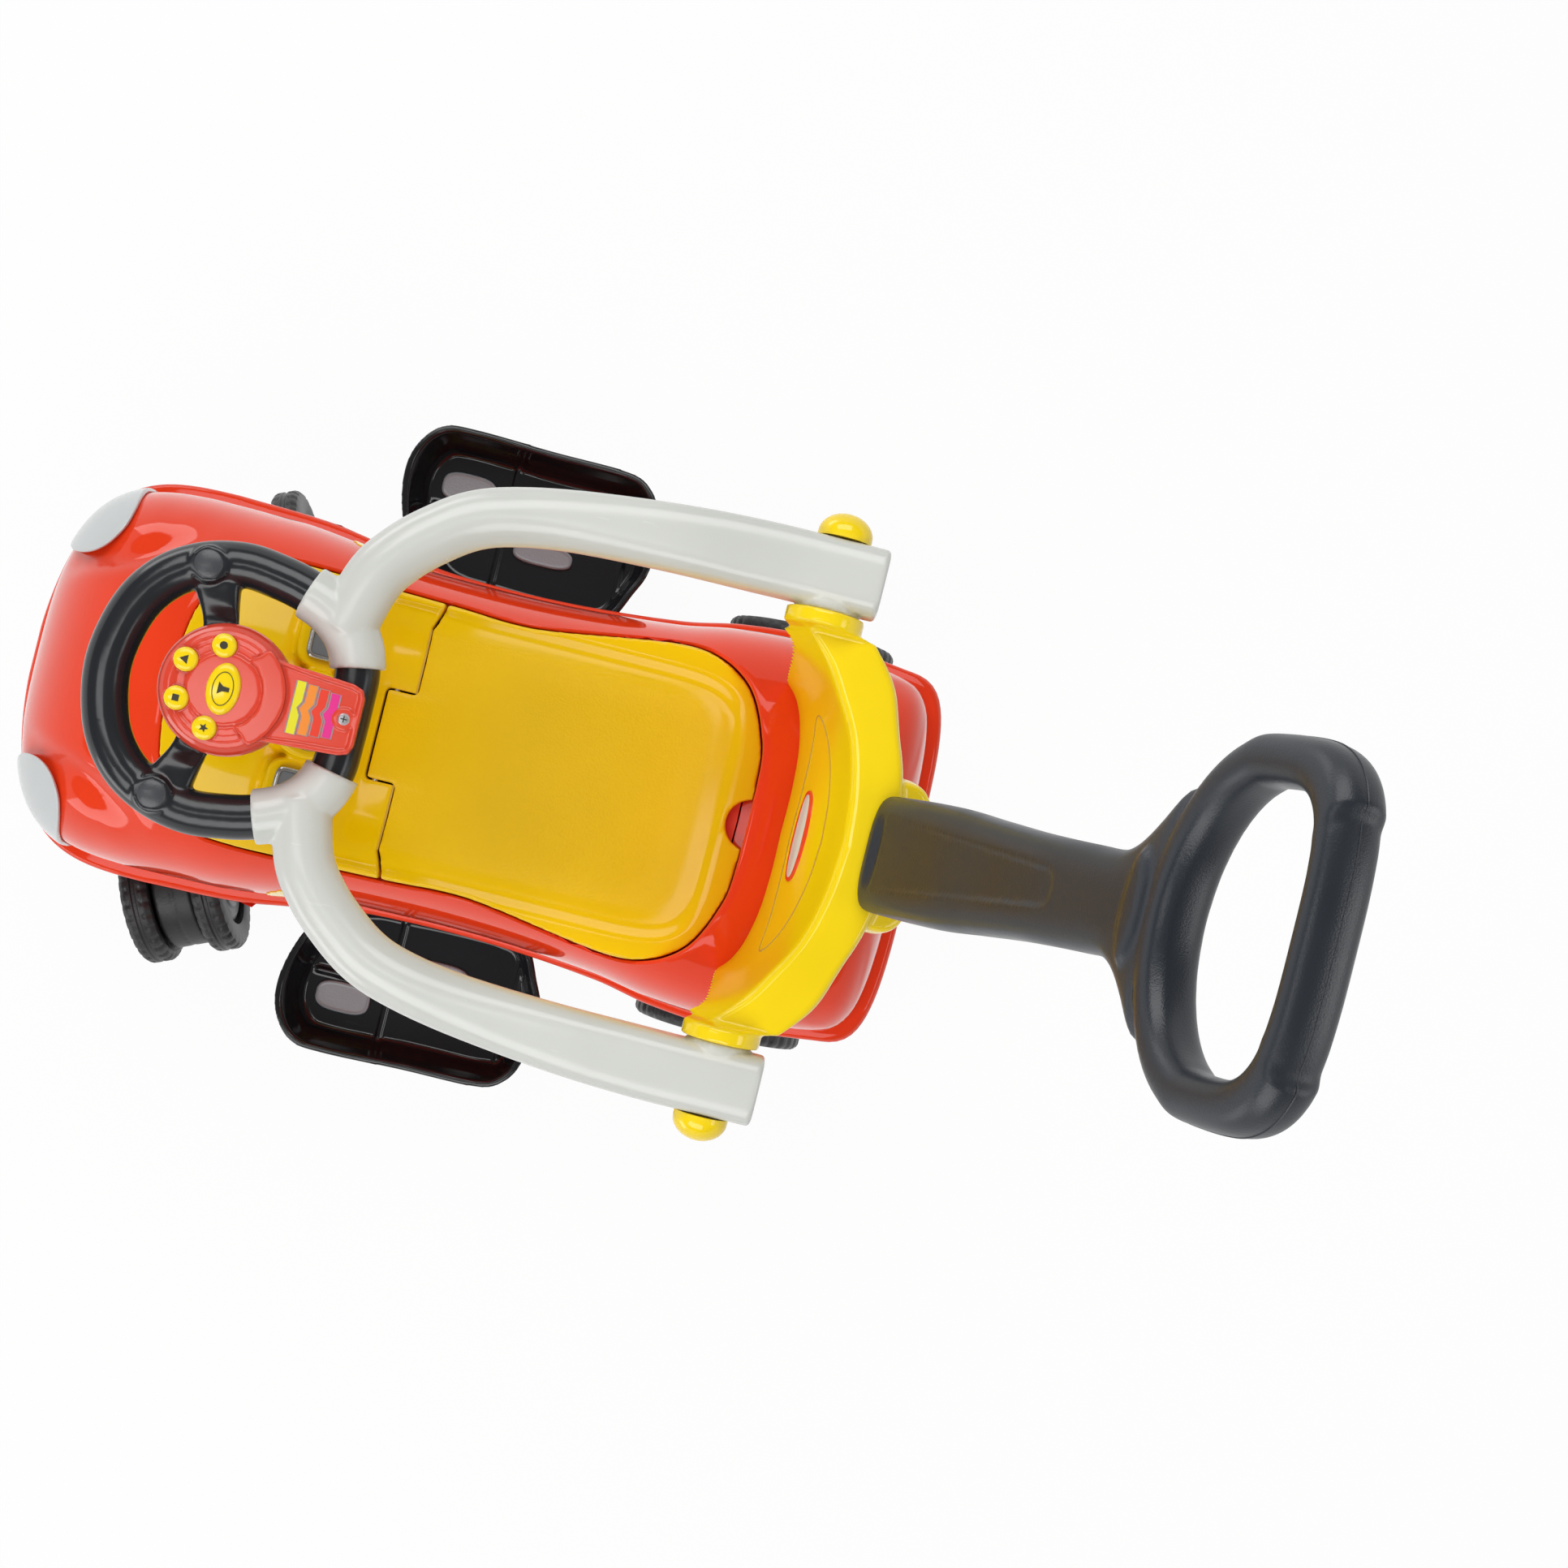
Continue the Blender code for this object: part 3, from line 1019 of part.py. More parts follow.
def make_push_handle():
    """Blow-moulded handle: a flat neck that widens into a closed grip loop."""
    half_thick = 0.5 * HANDLE_THICKNESS
    foot = LOOP_CENTRE - LOOP_OPENING_HALF_LENGTH - LOOP_BAR
    stations = [(0.0, NECK_BASE_HALF_WIDTH - 0.004), (0.005, NECK_BASE_HALF_WIDTH),
                (0.09, NECK_BASE_HALF_WIDTH - 0.0007),
                (0.14, mix(NECK_BASE_HALF_WIDTH, NECK_HALF_WIDTH, 0.45)),
                (0.19, mix(NECK_BASE_HALF_WIDTH, NECK_HALF_WIDTH, 0.8)),
                (foot - 0.060, NECK_HALF_WIDTH)]
    flares = ((-0.031, 0.0), (-0.019, 0.0045), (-0.010, 0.0115), (0.0, 0.022), (0.008, 0.031), (0.016, 0.033))
    stations += [(foot + ahead, NECK_HALF_WIDTH + flare) for ahead, flare in flares]
    rings = []
    for number, (along, half) in enumerate(stations):
        thick = half_thick - (0.004 if number in (0, len(stations) - 1) else 0.0)
        rings.append([handle_point(a, along, b) for a, b in rounded(half, thick, 3.2, 12)])
    handle = place("push_handle", loft(rings), "charcoal")
    turns = 24
    rings = []
    for step in range(turns):
        turn = 2.0 * math.pi * step / turns
        inner = loop_point(turn, LOOP_OPENING_HALF_WIDTH, LOOP_OPENING_HALF_LENGTH)
        outer = loop_point(turn, LOOP_HALF_WIDTH, LOOP_OPENING_HALF_LENGTH + LOOP_BAR)
        ring = []
        for p, q in rounded(0.5, half_thick, 2.6, 8):
            across, along = (mix(inner[k], outer[k], 0.5 + p) for k in range(2))
            ring.append(handle_point(across, LOOP_CENTRE + along, q))
        rings.append(ring)
    combine(handle, loft(rings, closed=True), "UNION")
    combine(handle, tongue_shape(0.0, TONGUE_DEPTH), "UNION")
    combine(handle, moved(rod(BOLT_RADIUS + GAP, -0.02, 0.02, 12), bolt_frame()))
    seat = BOLT_SEAT + GAP
    profile = [(0.0, -0.015), (BOLT_RADIUS, -0.015), (BOLT_RADIUS, seat), (BOLT_HEAD_RADIUS, seat),
               (BOLT_HEAD_RADIUS, seat + 0.002), (0.004, seat + 0.0035), (0.0, seat + 0.0035)]
    place("handle_bolt", moved(turned(profile, 12), bolt_frame()), "steel")
    return handle


TRAY_OUTLINE = [(0.169, 0.190), (0.164, 0.212), (0.149, TRAY_OUTER_Y - 0.003), (0.124, TRAY_OUTER_Y),
                (0.067, TRAY_OUTER_Y - 0.002), (0.014, TRAY_OUTER_Y - 0.003), (-0.005, TRAY_OUTER_Y - 0.010),
                (-0.016, 0.203), (-0.020, 0.165), (-0.012, 0.142), (0.000, 0.120), (0.022, 0.112),
                (0.082, 0.112), (0.127, 0.116), (0.152, 0.138), (0.164, 0.162)]
PAD_SPOTS = {"front": (0.126, 0.192, 0.020, 0.011), "rear": (0.062, 0.158, 0.022, 0.008)}


def make_foot_tray(name, side):
    """Footrest dish with sloping walls, cut to seat against the rocker flange."""
    outline = smooth_path(TRAY_OUTLINE, 2, closed=True)
    floor = TRAY_FLOOR_HEIGHT
    levels = ((0.013, floor - 0.004), (0.004, floor + 0.010), (0.0, TRAY_RIM_HEIGHT),
              (TRAY_WALL, TRAY_RIM_HEIGHT), (TRAY_WALL + 0.006, floor + 0.006), (TRAY_WALL + 0.010, floor))
    rings = [[(x, side * y, z) for x, y in offset_outline(outline, -inset)] for inset, z in levels]
    tray = place(name, loft(rings), "black_gloss")
    combine(tray, flange_solid(GAP))
    return tray


def make_foot_pads(name, side):
    """Grey grip pads that lie in the dish."""
    low = TRAY_FLOOR_HEIGHT + GAP
    ring = ((0.0, low), (0.0, low + PAD_THICKNESS - 0.001), (0.001, low + PAD_THICKNESS))
    for spot, (x, y, half_x, half_y) in PAD_SPOTS.items():
        outline = [(x + a, side * y + b) for a, b in rounded(half_x, half_y, 3.0, 16)]
        pad = loft([[(p, q, z) for p, q in offset_outline(outline, -d)] for d, z in ring])
        place("foot_pad_%s_%s" % (spot, name), pad, "grey_plastic")


def tyre_profile(radius, inner, outer, bore, dish, dish_radius):
    """Closed wheel profile along its axle: a tread with bevelled edges and a dished outer face."""
    return [(bore, inner), (radius - 0.004, inner), (radius, inner + 0.005), (radius, outer - 0.005),
            (radius - 0.004, outer), (dish_radius, outer), (dish_radius - 0.002, outer - dish),
            (bore, outer - dish)]


def make_rear_wheels():
    """Steel axle in bushes on the pan's lugs, with a wheel and a cap at each end."""
    centre = (REAR_AXLE_X, 0.0, REAR_WHEEL_RADIUS)
    inner = REAR_WHEEL_OUTER_Y - REAR_WHEEL_WIDTH
    dish = 0.010
    end = REAR_WHEEL_OUTER_Y - dish - GAP
    place("rear_axle", rod(REAR_AXLE_RADIUS, -end, end, 16, "Y", centre), "steel", centre)
    for name, side in SIDES:
        flip = Matrix.Scale(side, 4, (0.0, 1.0, 0.0))
        profile = tyre_profile(REAR_WHEEL_RADIUS, inner, REAR_WHEEL_OUTER_Y,
                               REAR_AXLE_RADIUS + RUNNING_FIT, dish, 0.038)
        place("rear_wheel_" + name, moved(turned(profile, 24, "Y", centre), flip), "wheel_black",
              (REAR_AXLE_X, side * inner, REAR_WHEEL_RADIUS))
        face = REAR_WHEEL_OUTER_Y - dish + GAP
        cap = [(0.0, face), (0.033, face), (0.0345, face + 0.002), (0.032, face + 0.0055),
               (0.020, face + 0.008), (0.0, face + 0.0085)]
        place("rear_wheel_cap_" + name, moved(turned(cap, 18, "Y", centre), flip), "grey_plastic",
              (REAR_AXLE_X, side * face, REAR_WHEEL_RADIUS))
        bore = REAR_AXLE_RADIUS + GAP
        lug_in = AXLE_LUG_Y - 0.5 * AXLE_LUG_THICKNESS
        lug_out = AXLE_LUG_Y + 0.5 * AXLE_LUG_THICKNESS
        bush = [(bore, lug_in - 0.001), (BUSH_RADIUS, lug_in - 0.001), (BUSH_RADIUS, lug_out + GAP),
                (BUSH_RADIUS + 0.003, lug_out + GAP), (BUSH_RADIUS + 0.003, lug_out + 0.004),
                (BUSH_RADIUS, lug_out + 0.004), (BUSH_RADIUS, inner - 0.0005), (bore, inner - 0.0005)]
        place("axle_bush_" + name, moved(turned(bush, 12, "Y", centre), flip), "off_white",
              (REAR_AXLE_X, side * AXLE_LUG_Y, REAR_WHEEL_RADIUS))


def make_caster(name, side):
    """Twin-wheel caster: stem, drum housing, axle, and a wheel with a cap on each side."""
    pivot = Vector((CASTER_X, side * CASTER_Y, 0.0))
    turn = Matrix.Rotation(CASTER_TURN, 4, "Z")
    frame = Matrix.Translation(pivot) @ turn
    centre = (0.0, CASTER_TRAIL, CASTER_WHEEL_RADIUS)
    origin = tuple(pivot)
    half = 0.5 * CASTER_DRUM_WIDTH
    drum = [(0.0, -half), (CASTER_DRUM_RADIUS - 0.002, -half), (CASTER_DRUM_RADIUS, -half + 0.002),
            (CASTER_DRUM_RADIUS, half - 0.002), (CASTER_DRUM_RADIUS - 0.002, half), (0.0, half)]
    shape = turned(drum, 16, "X", centre)
    housing = place("caster_housing_" + name, moved(shape, frame), "wheel_black", origin)
    collar_top = PAN_FRONT_HEIGHT - 0.001
    combine(housing, moved(rod(0.013, CASTER_WHEEL_RADIUS, collar_top - 0.0025, 18), frame), "UNION")
    foot = prism([(-0.03, -0.04), (0.03, -0.04), (0.03, 0.08), (-0.03, 0.08)], -0.01, 0.016)
    combine(housing, moved(foot, frame))
    axle_hole = rod(CASTER_AXLE_RADIUS + GAP, -half - 0.01, half + 0.01, 14, "X", centre)
    combine(housing, moved(axle_hole, frame))
    stem_low = CASTER_WHEEL_RADIUS + 0.018
    combine(housing, moved(rod(CASTER_STEM_RADIUS + GAP, stem_low, 0.2, 16), frame))
    radius = CASTER_STEM_RADIUS
    stem = [(0.0, stem_low + GAP), (radius, stem_low + GAP), (radius, collar_top - 0.0022),
            (0.009, collar_top - 0.0022), (0.009, collar_top), (radius, collar_top),
            (radius, SOCKET_TOP - 0.0045), (radius - 0.001, SOCKET_TOP - 0.0035), (0.0, SOCKET_TOP - 0.0035)]
    place("caster_stem_" + name, moved(turned(stem, 12), frame), "steel", origin)
    dish = 0.006
    inner = half + 0.0005
    outer = inner + CASTER_WHEEL_WIDTH
    end = outer - dish - GAP
    hub_point = frame @ Vector(centre)
    axle = rod(CASTER_AXLE_RADIUS, -end, end, 14, "X", centre)
    place("caster_axle_" + name, moved(axle, frame), "steel", tuple(hub_point))
    for end_name, way in (("front", 1.0), ("rear", -1.0)):
        flip = Matrix.Scale(way, 4, (1.0, 0.0, 0.0))
        bore = CASTER_AXLE_RADIUS + RUNNING_FIT
        profile = tyre_profile(CASTER_WHEEL_RADIUS, inner, outer, bore, dish, 0.030)
        wheel = moved(turned(profile, 20, "X", centre), flip)
        spot = tuple(frame @ Vector((way * inner, centre[1], centre[2])))
        place("caster_wheel_%s_%s" % (name, end_name), moved(wheel, frame), "wheel_black", spot)
        face = outer - dish + GAP
        disc = [(0.0, face), (0.0265, face), (0.0265, face + 0.002), (0.018, face + 0.004),
                (0.0, face + 0.0045)]
        cap = moved(turned(disc, 16, "X", centre), flip)
        place("caster_cap_%s_%s" % (name, end_name), moved(cap, frame), "grey_plastic", spot)


# Headlamps on the front corners, outlined in plan
LAMP_OUTLINE = [(0.320, 0.126), (0.337, 0.113), (0.349, 0.092), (0.351, 0.076), (0.339, 0.072),
                (0.325, 0.086), (0.316, 0.103), (0.311, 0.119)]


def make_headlamp(name, side):
    """Pale lens that follows the body's corner, 3 mm thick."""
    outline = smooth_path([(x, side * y) for x, y in LAMP_OUTLINE], 2, closed=True)
    lens = place(name, grown_body(0.0036), "lens_white")
    combine(lens, prism(outline, 0.150, 0.4), "INTERSECT")
    combine(lens, grown(upper_solid(), GAP * 1.3))
    combine(lens, flange_solid(GAP))


def grown_body(grow):
    """The front of the upper body, moved out along its surface."""
    return grown(upper_solid(0.0, None, 12, 24, 0.24), grow)


def build():
    clear_scene()
    make_body_shell()
    make_floor_pan()
    make_storage_bin()
    make_seat_lid()
    make_dash_panel()
    make_dash_trims()
    make_hinge_pin()
    frame = bpy.data.objects.new("steering_frame", None)
    frame.matrix_world = steering_matrix()
    bpy.context.collection.objects.link(frame)
    bpy.context.view_layer.update()
    make_steering_wheel(frame)
    make_hub(frame)
    for name, side in SIDES:
        make_rail("rail_" + name, side)
        make_knob("rail_knob_" + name, side)
        make_foot_tray("foot_tray_" + name, side)
        make_foot_pads(name, side)
        make_caster(name, side)
        make_headlamp("headlamp_" + name, side)
    make_backrest()
    make_push_handle()
    make_rear_wheels()
    for item in bpy.context.collection.objects:
        if item.parent is None:
            item.location.x += CENTRING


build()
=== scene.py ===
"""Looks of the kids ride-on car: fine surfaces, plastics, light and camera.

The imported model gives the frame. Each moulding is built again here with fine steps and soft
edges, in metres, with X to the front of the car, Y to its left and Z up.
"""
import math

import bmesh
import bpy
import numpy as np
from mathutils import Matrix, Vector


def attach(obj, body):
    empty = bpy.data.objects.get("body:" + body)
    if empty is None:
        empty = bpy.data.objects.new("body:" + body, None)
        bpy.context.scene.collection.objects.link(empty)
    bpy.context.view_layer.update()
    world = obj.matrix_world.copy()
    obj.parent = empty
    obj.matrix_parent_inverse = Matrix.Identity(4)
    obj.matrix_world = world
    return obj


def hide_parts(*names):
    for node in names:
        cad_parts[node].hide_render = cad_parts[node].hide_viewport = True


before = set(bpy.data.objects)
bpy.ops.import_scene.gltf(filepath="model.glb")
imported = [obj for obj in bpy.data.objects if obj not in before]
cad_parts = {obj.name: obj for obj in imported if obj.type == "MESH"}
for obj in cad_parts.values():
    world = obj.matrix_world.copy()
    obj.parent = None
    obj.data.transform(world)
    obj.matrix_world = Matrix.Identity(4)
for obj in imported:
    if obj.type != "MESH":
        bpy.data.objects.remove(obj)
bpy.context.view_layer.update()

# The car is laid out from a point under its seat, then moved so that its box is centred
CENTRING = 0.0038245

# Body moulding
NOSE_X = 0.3785
TAIL_X = -0.251
FRONT_HALF_WIDTH = 0.139
WAIST_HALF_WIDTH = 0.124
REAR_HALF_WIDTH = 0.14
LEDGE_WIDTH = 0.01
FRONT_X = 0.265
WAIST_X = 0.075
REAR_X = -0.145
NOSE_ROUND = 0.139
TAIL_ROUND = 0.066
CREST_POWER = 2.9
HOOD_HEIGHT = 0.286
SEAT_CROWN_HEIGHT = 0.27
TAIL_HEIGHT = 0.24
SKIRT_HEIGHT = 0.06
FRONT_SKIRT_HEIGHT = 0.106
BODY_WALL = 0.0028

# Seat and dash
DECK_HEIGHT = 0.2245
SEAT_HEIGHT = 0.2385
LID_FRONT_X = 0.093
LID_REAR_X = -0.134
LID_HALF_WIDTH = 0.1035
PANEL_FRONT_X = 0.238
PARTING_GAP = 0.0015
SEAT_CLEARANCE = 0.0002
# Step of the parting line near the sides: offset along the car, and place across it
PARTING_STEP = ((0.0, 0.074), (-0.005, 0.087), (-0.009, 0.12))
HINGE_X = 0.1075
TAB_HALF_WIDTH = 0.0295
NOTCH_RADIUS = 0.0165
POD_TILT = math.radians(22.0)
POD_RIM = 0.0052
GAUGE_SPOT = (0.143, 0.0, 0.288)
GAUGE_RADIUS = 0.0225
WINDOW_SPOT = (0.149, 0.049, 0.278)
WINDOW_HALF_X = 0.011
WINDOW_HALF_Y = 0.014

# Wheels and casters
REAR_WHEEL_RADIUS = 0.061
REAR_WHEEL_WIDTH = 0.036
REAR_WHEEL_OUTER_Y = 0.148
ARCH_CLEARANCE = 0.009
CASTER_X = 0.2665
CASTER_Y = 0.1245
CASTER_TRAIL = 0.022
CASTER_WHEEL_RADIUS = 0.048
CASTER_WHEEL_WIDTH = 0.0205
CASTER_DRUM_RADIUS = 0.04
CASTER_DRUM_WIDTH = 0.028
CASTER_TURN = math.radians(24.0)

# Steering wheel
HUB_X = 0.167
HUB_Z = 0.402
WHEEL_TILT = math.radians(8.0)
RING_TUBE_RADIUS = 0.013
HUB_RADIUS = 0.0375
HUB_TOP = 0.027
BUTTON_RADIUS = 0.0068
HORN_HALF_LENGTH = 0.0147
HORN_HALF_WIDTH = 0.0093
TONGUE_HALF_WIDTH = 0.0215
ARM_END_X = -0.0765
COLUMN_RADIUS = 0.013
CAP_SPOT = (0.026, 0.0665)
CAP_RADIUS = 0.008
CAP_TOP = 0.0142

# Rails, backrest and push handle
RAIL_Y = 0.1495
RAIL_RADIUS = 0.017
COLLAR_X = -0.151
COLLAR_Z = 0.385
COLLAR_RADIUS = 0.023
COLLAR_END_Y = 0.1267
KNOB_RADIUS = 0.016
BACKREST_TOP = 0.395
BACKREST_THICKNESS = 0.031
HANDLE_BASE_X = -0.216
HANDLE_BASE_Z = 0.389
HANDLE_LEAN = math.radians(21.7)
HANDLE_THICKNESS = 0.028
NECK_BASE_HALF_WIDTH = 0.034
NECK_HALF_WIDTH = 0.0255
LOOP_CENTRE = 0.3678
LOOP_HALF_WIDTH = 0.083
LOOP_OPENING_HALF_WIDTH = 0.061
LOOP_OPENING_HALF_LENGTH = 0.0445
LOOP_BAR = 0.02
SOCKET_HALF_WIDTH = 0.046
HANDLE_HALF_THICKNESS = 0.5 * HANDLE_THICKNESS
LOOP_FOOT = LOOP_CENTRE - LOOP_OPENING_HALF_LENGTH - LOOP_BAR

# Foot trays
TRAY_RIM_HEIGHT = 0.085
TRAY_FLOOR_HEIGHT = 0.05
TRAY_WALL = 0.005
TRAY_OUTER_Y = 0.231

# Camera straight above the car, turned as in the photograph
CAMERA_SPOT = (CENTRING - 0.155, 0.02, 1.6)
CAMERA_TURN = math.radians(194.0)
CAMERA_LENS = 48.45
CAMERA_SHIFT = (0.0083, 0.0502)

# Floor and surround: how much the floor glows where it is seen, the surround's light, what is added
# to it where it is seen, and how far up mirrored rays see that too
FLOOR_GLOW = 0.95
SURROUND_LIGHT = 0.21
SURROUND_SHOWN = 0.78
MIRRORED_HEIGHT = 0.25

SIDES = (("left", 1.0), ("right", -1.0))

# Fineness of the body: stations of a solid, steps of its arch, points of half a plan, rings of the crown
SOLID_STATIONS = 60
ARCH_STEPS = 72
HALF_POINTS = 150
CROWN_RINGS = 64

# How far down a cutter or a mould that goes right through a piece reaches, and how far up
THROUGH = (0.0, 0.4)


def clamp(value, low=0.0, high=1.0):
    return max(low, min(high, value))


def ease(value):
    """Smooth step from 0 to 1."""
    t = clamp(value)
    return t * t * (3.0 - 2.0 * t)


def mix(a, b, t):
    return a + (b - a) * t


def curve_value(x, stations):
    """Smooth curve through (x, value) stations, level beyond the ends."""
    if x <= stations[0][0]:
        return stations[0][1]
    if x >= stations[-1][0]:
        return stations[-1][1]
    last = len(stations) - 1
    for i in range(last):
        x0, v0 = stations[i]
        x1, v1 = stations[i + 1]
        if x <= x1:
            before = stations[max(i - 1, 0)]
            after = stations[min(i + 2, last)]
            span = x1 - x0
            slope0 = (v1 - before[1]) / (x1 - before[0]) * span
            slope1 = (after[1] - v0) / (after[0] - x0) * span
            t = (x - x0) / span
            return ((2 * t ** 3 - 3 * t ** 2 + 1) * v0 + (t ** 3 - 2 * t ** 2 + t) * slope0
                    + (3 * t ** 2 - 2 * t ** 3) * v1 + (t ** 3 - t ** 2) * slope1)
    return stations[-1][1]


def smooth_path(points, steps, closed=False):
    """Points along a Catmull-Rom curve through the given points."""
    count = len(points)
    size = len(points[0])
    spans = count if closed else count - 1
    path = []
    for i in range(spans):
        if closed:
            p = [points[(i + k) % count] for k in (-1, 0, 1, 2)]
        else:
            p = [points[clamp(i + k, 0, count - 1)] for k in (-1, 0, 1, 2)]
        for k in range(steps):
            t = k / steps
            path.append(tuple(
                0.5 * (2 * p[1][c] + (p[2][c] - p[0][c]) * t
                       + (2 * p[0][c] - 5 * p[1][c] + 4 * p[2][c] - p[3][c]) * t * t
                       + (3 * p[1][c] - p[0][c] - 3 * p[2][c] + p[3][c]) * t ** 3)
                for c in range(size)))
    if not closed:
        path.append(tuple(points[-1]))
    return path


def mirrored(half):
    """Close a half outline, given from rear to front with y above zero, with its mirror image."""
    inner = [p for p in half if p[1] > 1e-6]
    front = [p for p in half[1:] if p[1] <= 1e-6]
    rear = [p for p in half[:1] if p[1] <= 1e-6]
    return rear + inner + front + [(x, -y) for x, y in reversed(inner)]


def offset_outline(outline, distance):
    """Move each point of a closed outline along its outward normal."""
    count = len(outline)
    area = sum(outline[i][0] * outline[(i + 1) % count][1] - outline[(i + 1) % count][0] * outline[i][1]
               for i in range(count))
    sign = 1.0 if area > 0.0 else -1.0
    moved = []
    for i in range(count):
        ax, ay = outline[i - 1]
        bx, by = outline[(i + 1) % count]
        length = math.hypot(bx - ax, by - ay)
        normal = (sign * (by - ay) / length, -sign * (bx - ax) / length)
        moved.append((outline[i][0] + normal[0] * distance, outline[i][1] + normal[1] * distance))
    return moved


def loft(rings, closed=False):
    """Skin a row of rings that have the same number of points, and cap its ends."""
    shape = bmesh.new()
    loops = [[shape.verts.new(p) for p in ring] for ring in rings]
    pairs = list(zip(loops, loops[1:]))
    if closed:
        pairs.append((loops[-1], loops[0]))
    for a, b in pairs:
        for i in range(len(a)):
            j = (i + 1) % len(a)
            shape.faces.new((a[i], a[j], b[j], b[i]))
    if not closed:
        shape.faces.new(loops[0])
        shape.faces.new(loops[-1])
    return shape


def prism(outline, low, high):
    return loft([[(x, y, low) for x, y in outline], [(x, y, high) for x, y in outline]])


def circle_turns(count):
    return [2.0 * math.pi * k / count for k in range(count)]


def signed_power(value, power):
    """Power of a number's size, with the number's own sign."""
    return math.copysign(abs(value) ** power, value)


def rounded(half_a, half_b, power, count):
    """Superellipse ring in a plane: power 2 is an ellipse, higher is a rounded box."""
    ring = []
    for i in range(count):
        turn = 2.0 * math.pi * (i + 0.5) / count
        ring.append((half_a * signed_power(math.cos(turn), 2.0 / power),
                     half_b * signed_power(math.sin(turn), 2.0 / power)))
    return ring


def sweep(path, section, normal=(0.0, 0.0, 1.0), closed=False):
    """Carry a section along a path. section(i) gives (across, along normal) points."""
    up = Vector(normal)
    points = [Vector(p) for p in path]
    count = len(points)
    rings = []
    for i, point in enumerate(points):
        if closed:
            ahead = points[(i + 1) % count] - points[i - 1]
        else:
            ahead = points[min(i + 1, count - 1)] - points[max(i - 1, 0)]
        side = ahead.cross(up).normalized()
        rise = side.cross(ahead).normalized()
        rings.append([point + side * a + rise * b for a, b in section(i)])
    return loft(rings, closed)


def turned(profile, steps, axis="Z", centre=(0.0, 0.0, 0.0)):
    """Spin a closed (radius, height) profile round an axis. A zero radius is on the axis."""
    shape = bmesh.new()
    on_axis = {}
    loops = []
    for turn in circle_turns(steps):
        row = []
        for i, (radius, height) in enumerate(profile):
            point = (radius * math.cos(turn), radius * math.sin(turn), height)
            if radius >= 1e-7:
                row.append(shape.verts.new(point))
                continue
            if i not in on_axis:
                on_axis[i] = shape.verts.new(point)
            row.append(on_axis[i])
        loops.append(row)
    for k in range(steps):
        a, b = loops[k], loops[(k + 1) % steps]
        for i in range(len(profile)):
            j = (i + 1) % len(profile)
            corners = [a[i], a[j], b[j], b[i]]
            unique = [v for n, v in enumerate(corners) if v not in corners[:n]]
            if len(unique) > 2:
                shape.faces.new(unique)
    turns = {"Z": Matrix.Identity(4), "Y": Matrix.Rotation(-math.pi / 2, 4, "X"),
             "X": Matrix.Rotation(math.pi / 2, 4, "Y")}
    return moved(shape, Matrix.Translation(centre) @ turns[axis])


def rod(radius, low, high, steps, axis="Z", centre=(0.0, 0.0, 0.0)):
    return turned([(0.0, low), (radius, low), (radius, high), (0.0, high)], steps, axis, centre)


def moved(shape, matrix):
    bmesh.ops.transform(shape, matrix=matrix, verts=shape.verts)
    return shape


def flipped(shape, side):
    """Mirror a form made for the left when it is wanted on the right, where side is -1."""
    return moved(shape, Matrix.Scale(side, 4, (0.0, 1.0, 0.0)))


# Body surface: widths follow the plan view, heights the side view
WIDTHS = ((REAR_X - 0.07, REAR_HALF_WIDTH - 0.007), (REAR_X, REAR_HALF_WIDTH),
          (REAR_X + 0.05, REAR_HALF_WIDTH - 0.003), (REAR_X + 0.09, WAIST_HALF_WIDTH + 0.006),
          (WAIST_X - 0.05, WAIST_HALF_WIDTH), (WAIST_X + 0.03, WAIST_HALF_WIDTH),
          (WAIST_X + 0.07, WAIST_HALF_WIDTH + 0.004), (FRONT_X - 0.1, FRONT_HALF_WIDTH - 0.007),
          (FRONT_X - 0.06, FRONT_HALF_WIDTH - 0.0015), (FRONT_X, FRONT_HALF_WIDTH))
STEPS_OUT = ((REAR_X, LEDGE_WIDTH - 0.002), (WAIST_X - 0.03, LEDGE_WIDTH - 0.004),
             (WAIST_X + 0.03, LEDGE_WIDTH - 0.004), (FRONT_X - 0.04, LEDGE_WIDTH))
LEDGES = ((REAR_X, 0.138), (WAIST_X - 0.03, 0.108), (WAIST_X + 0.06, 0.111), (FRONT_X, 0.134))
CROWNS = ((TAIL_X + 0.042, TAIL_HEIGHT - 0.003), (TAIL_X + 0.092, SEAT_CROWN_HEIGHT - 0.008),
          (LID_REAR_X + 0.019, SEAT_CROWN_HEIGHT), (LID_REAR_X + 0.079, SEAT_CROWN_HEIGHT),
          (LID_FRONT_X - 0.048, SEAT_CROWN_HEIGHT - 0.002), (LID_FRONT_X + 0.052, SEAT_CROWN_HEIGHT + 0.002),
          (0.195, HOOD_HEIGHT - 0.001), (0.235, HOOD_HEIGHT - 0.003), (0.275, HOOD_HEIGHT - 0.01))


def round_end(x, start, end, fall, power):
    """1 along the body, falling to nearly 0 at a rounded end."""
    s = clamp((x - start) / (end - start))
    return (1.0 - (0.997 * s) ** fall) ** (1.0 / power)


def ends(x, nose, tail, nose_fall, nose_power, tail_fall, tail_power):
    if x > nose - NOSE_ROUND:
        return round_end(x, nose - NOSE_ROUND, nose, nose_fall, nose_power)
    if x < tail + TAIL_ROUND:
        return round_end(x, tail + TAIL_ROUND, tail, tail_fall, tail_power)
    return 1.0


def flange_half(x):
    return curve_value(x, WIDTHS) * ends(x, NOSE_X, TAIL_X, 4.6, 2.1, 6.0, 4.0)


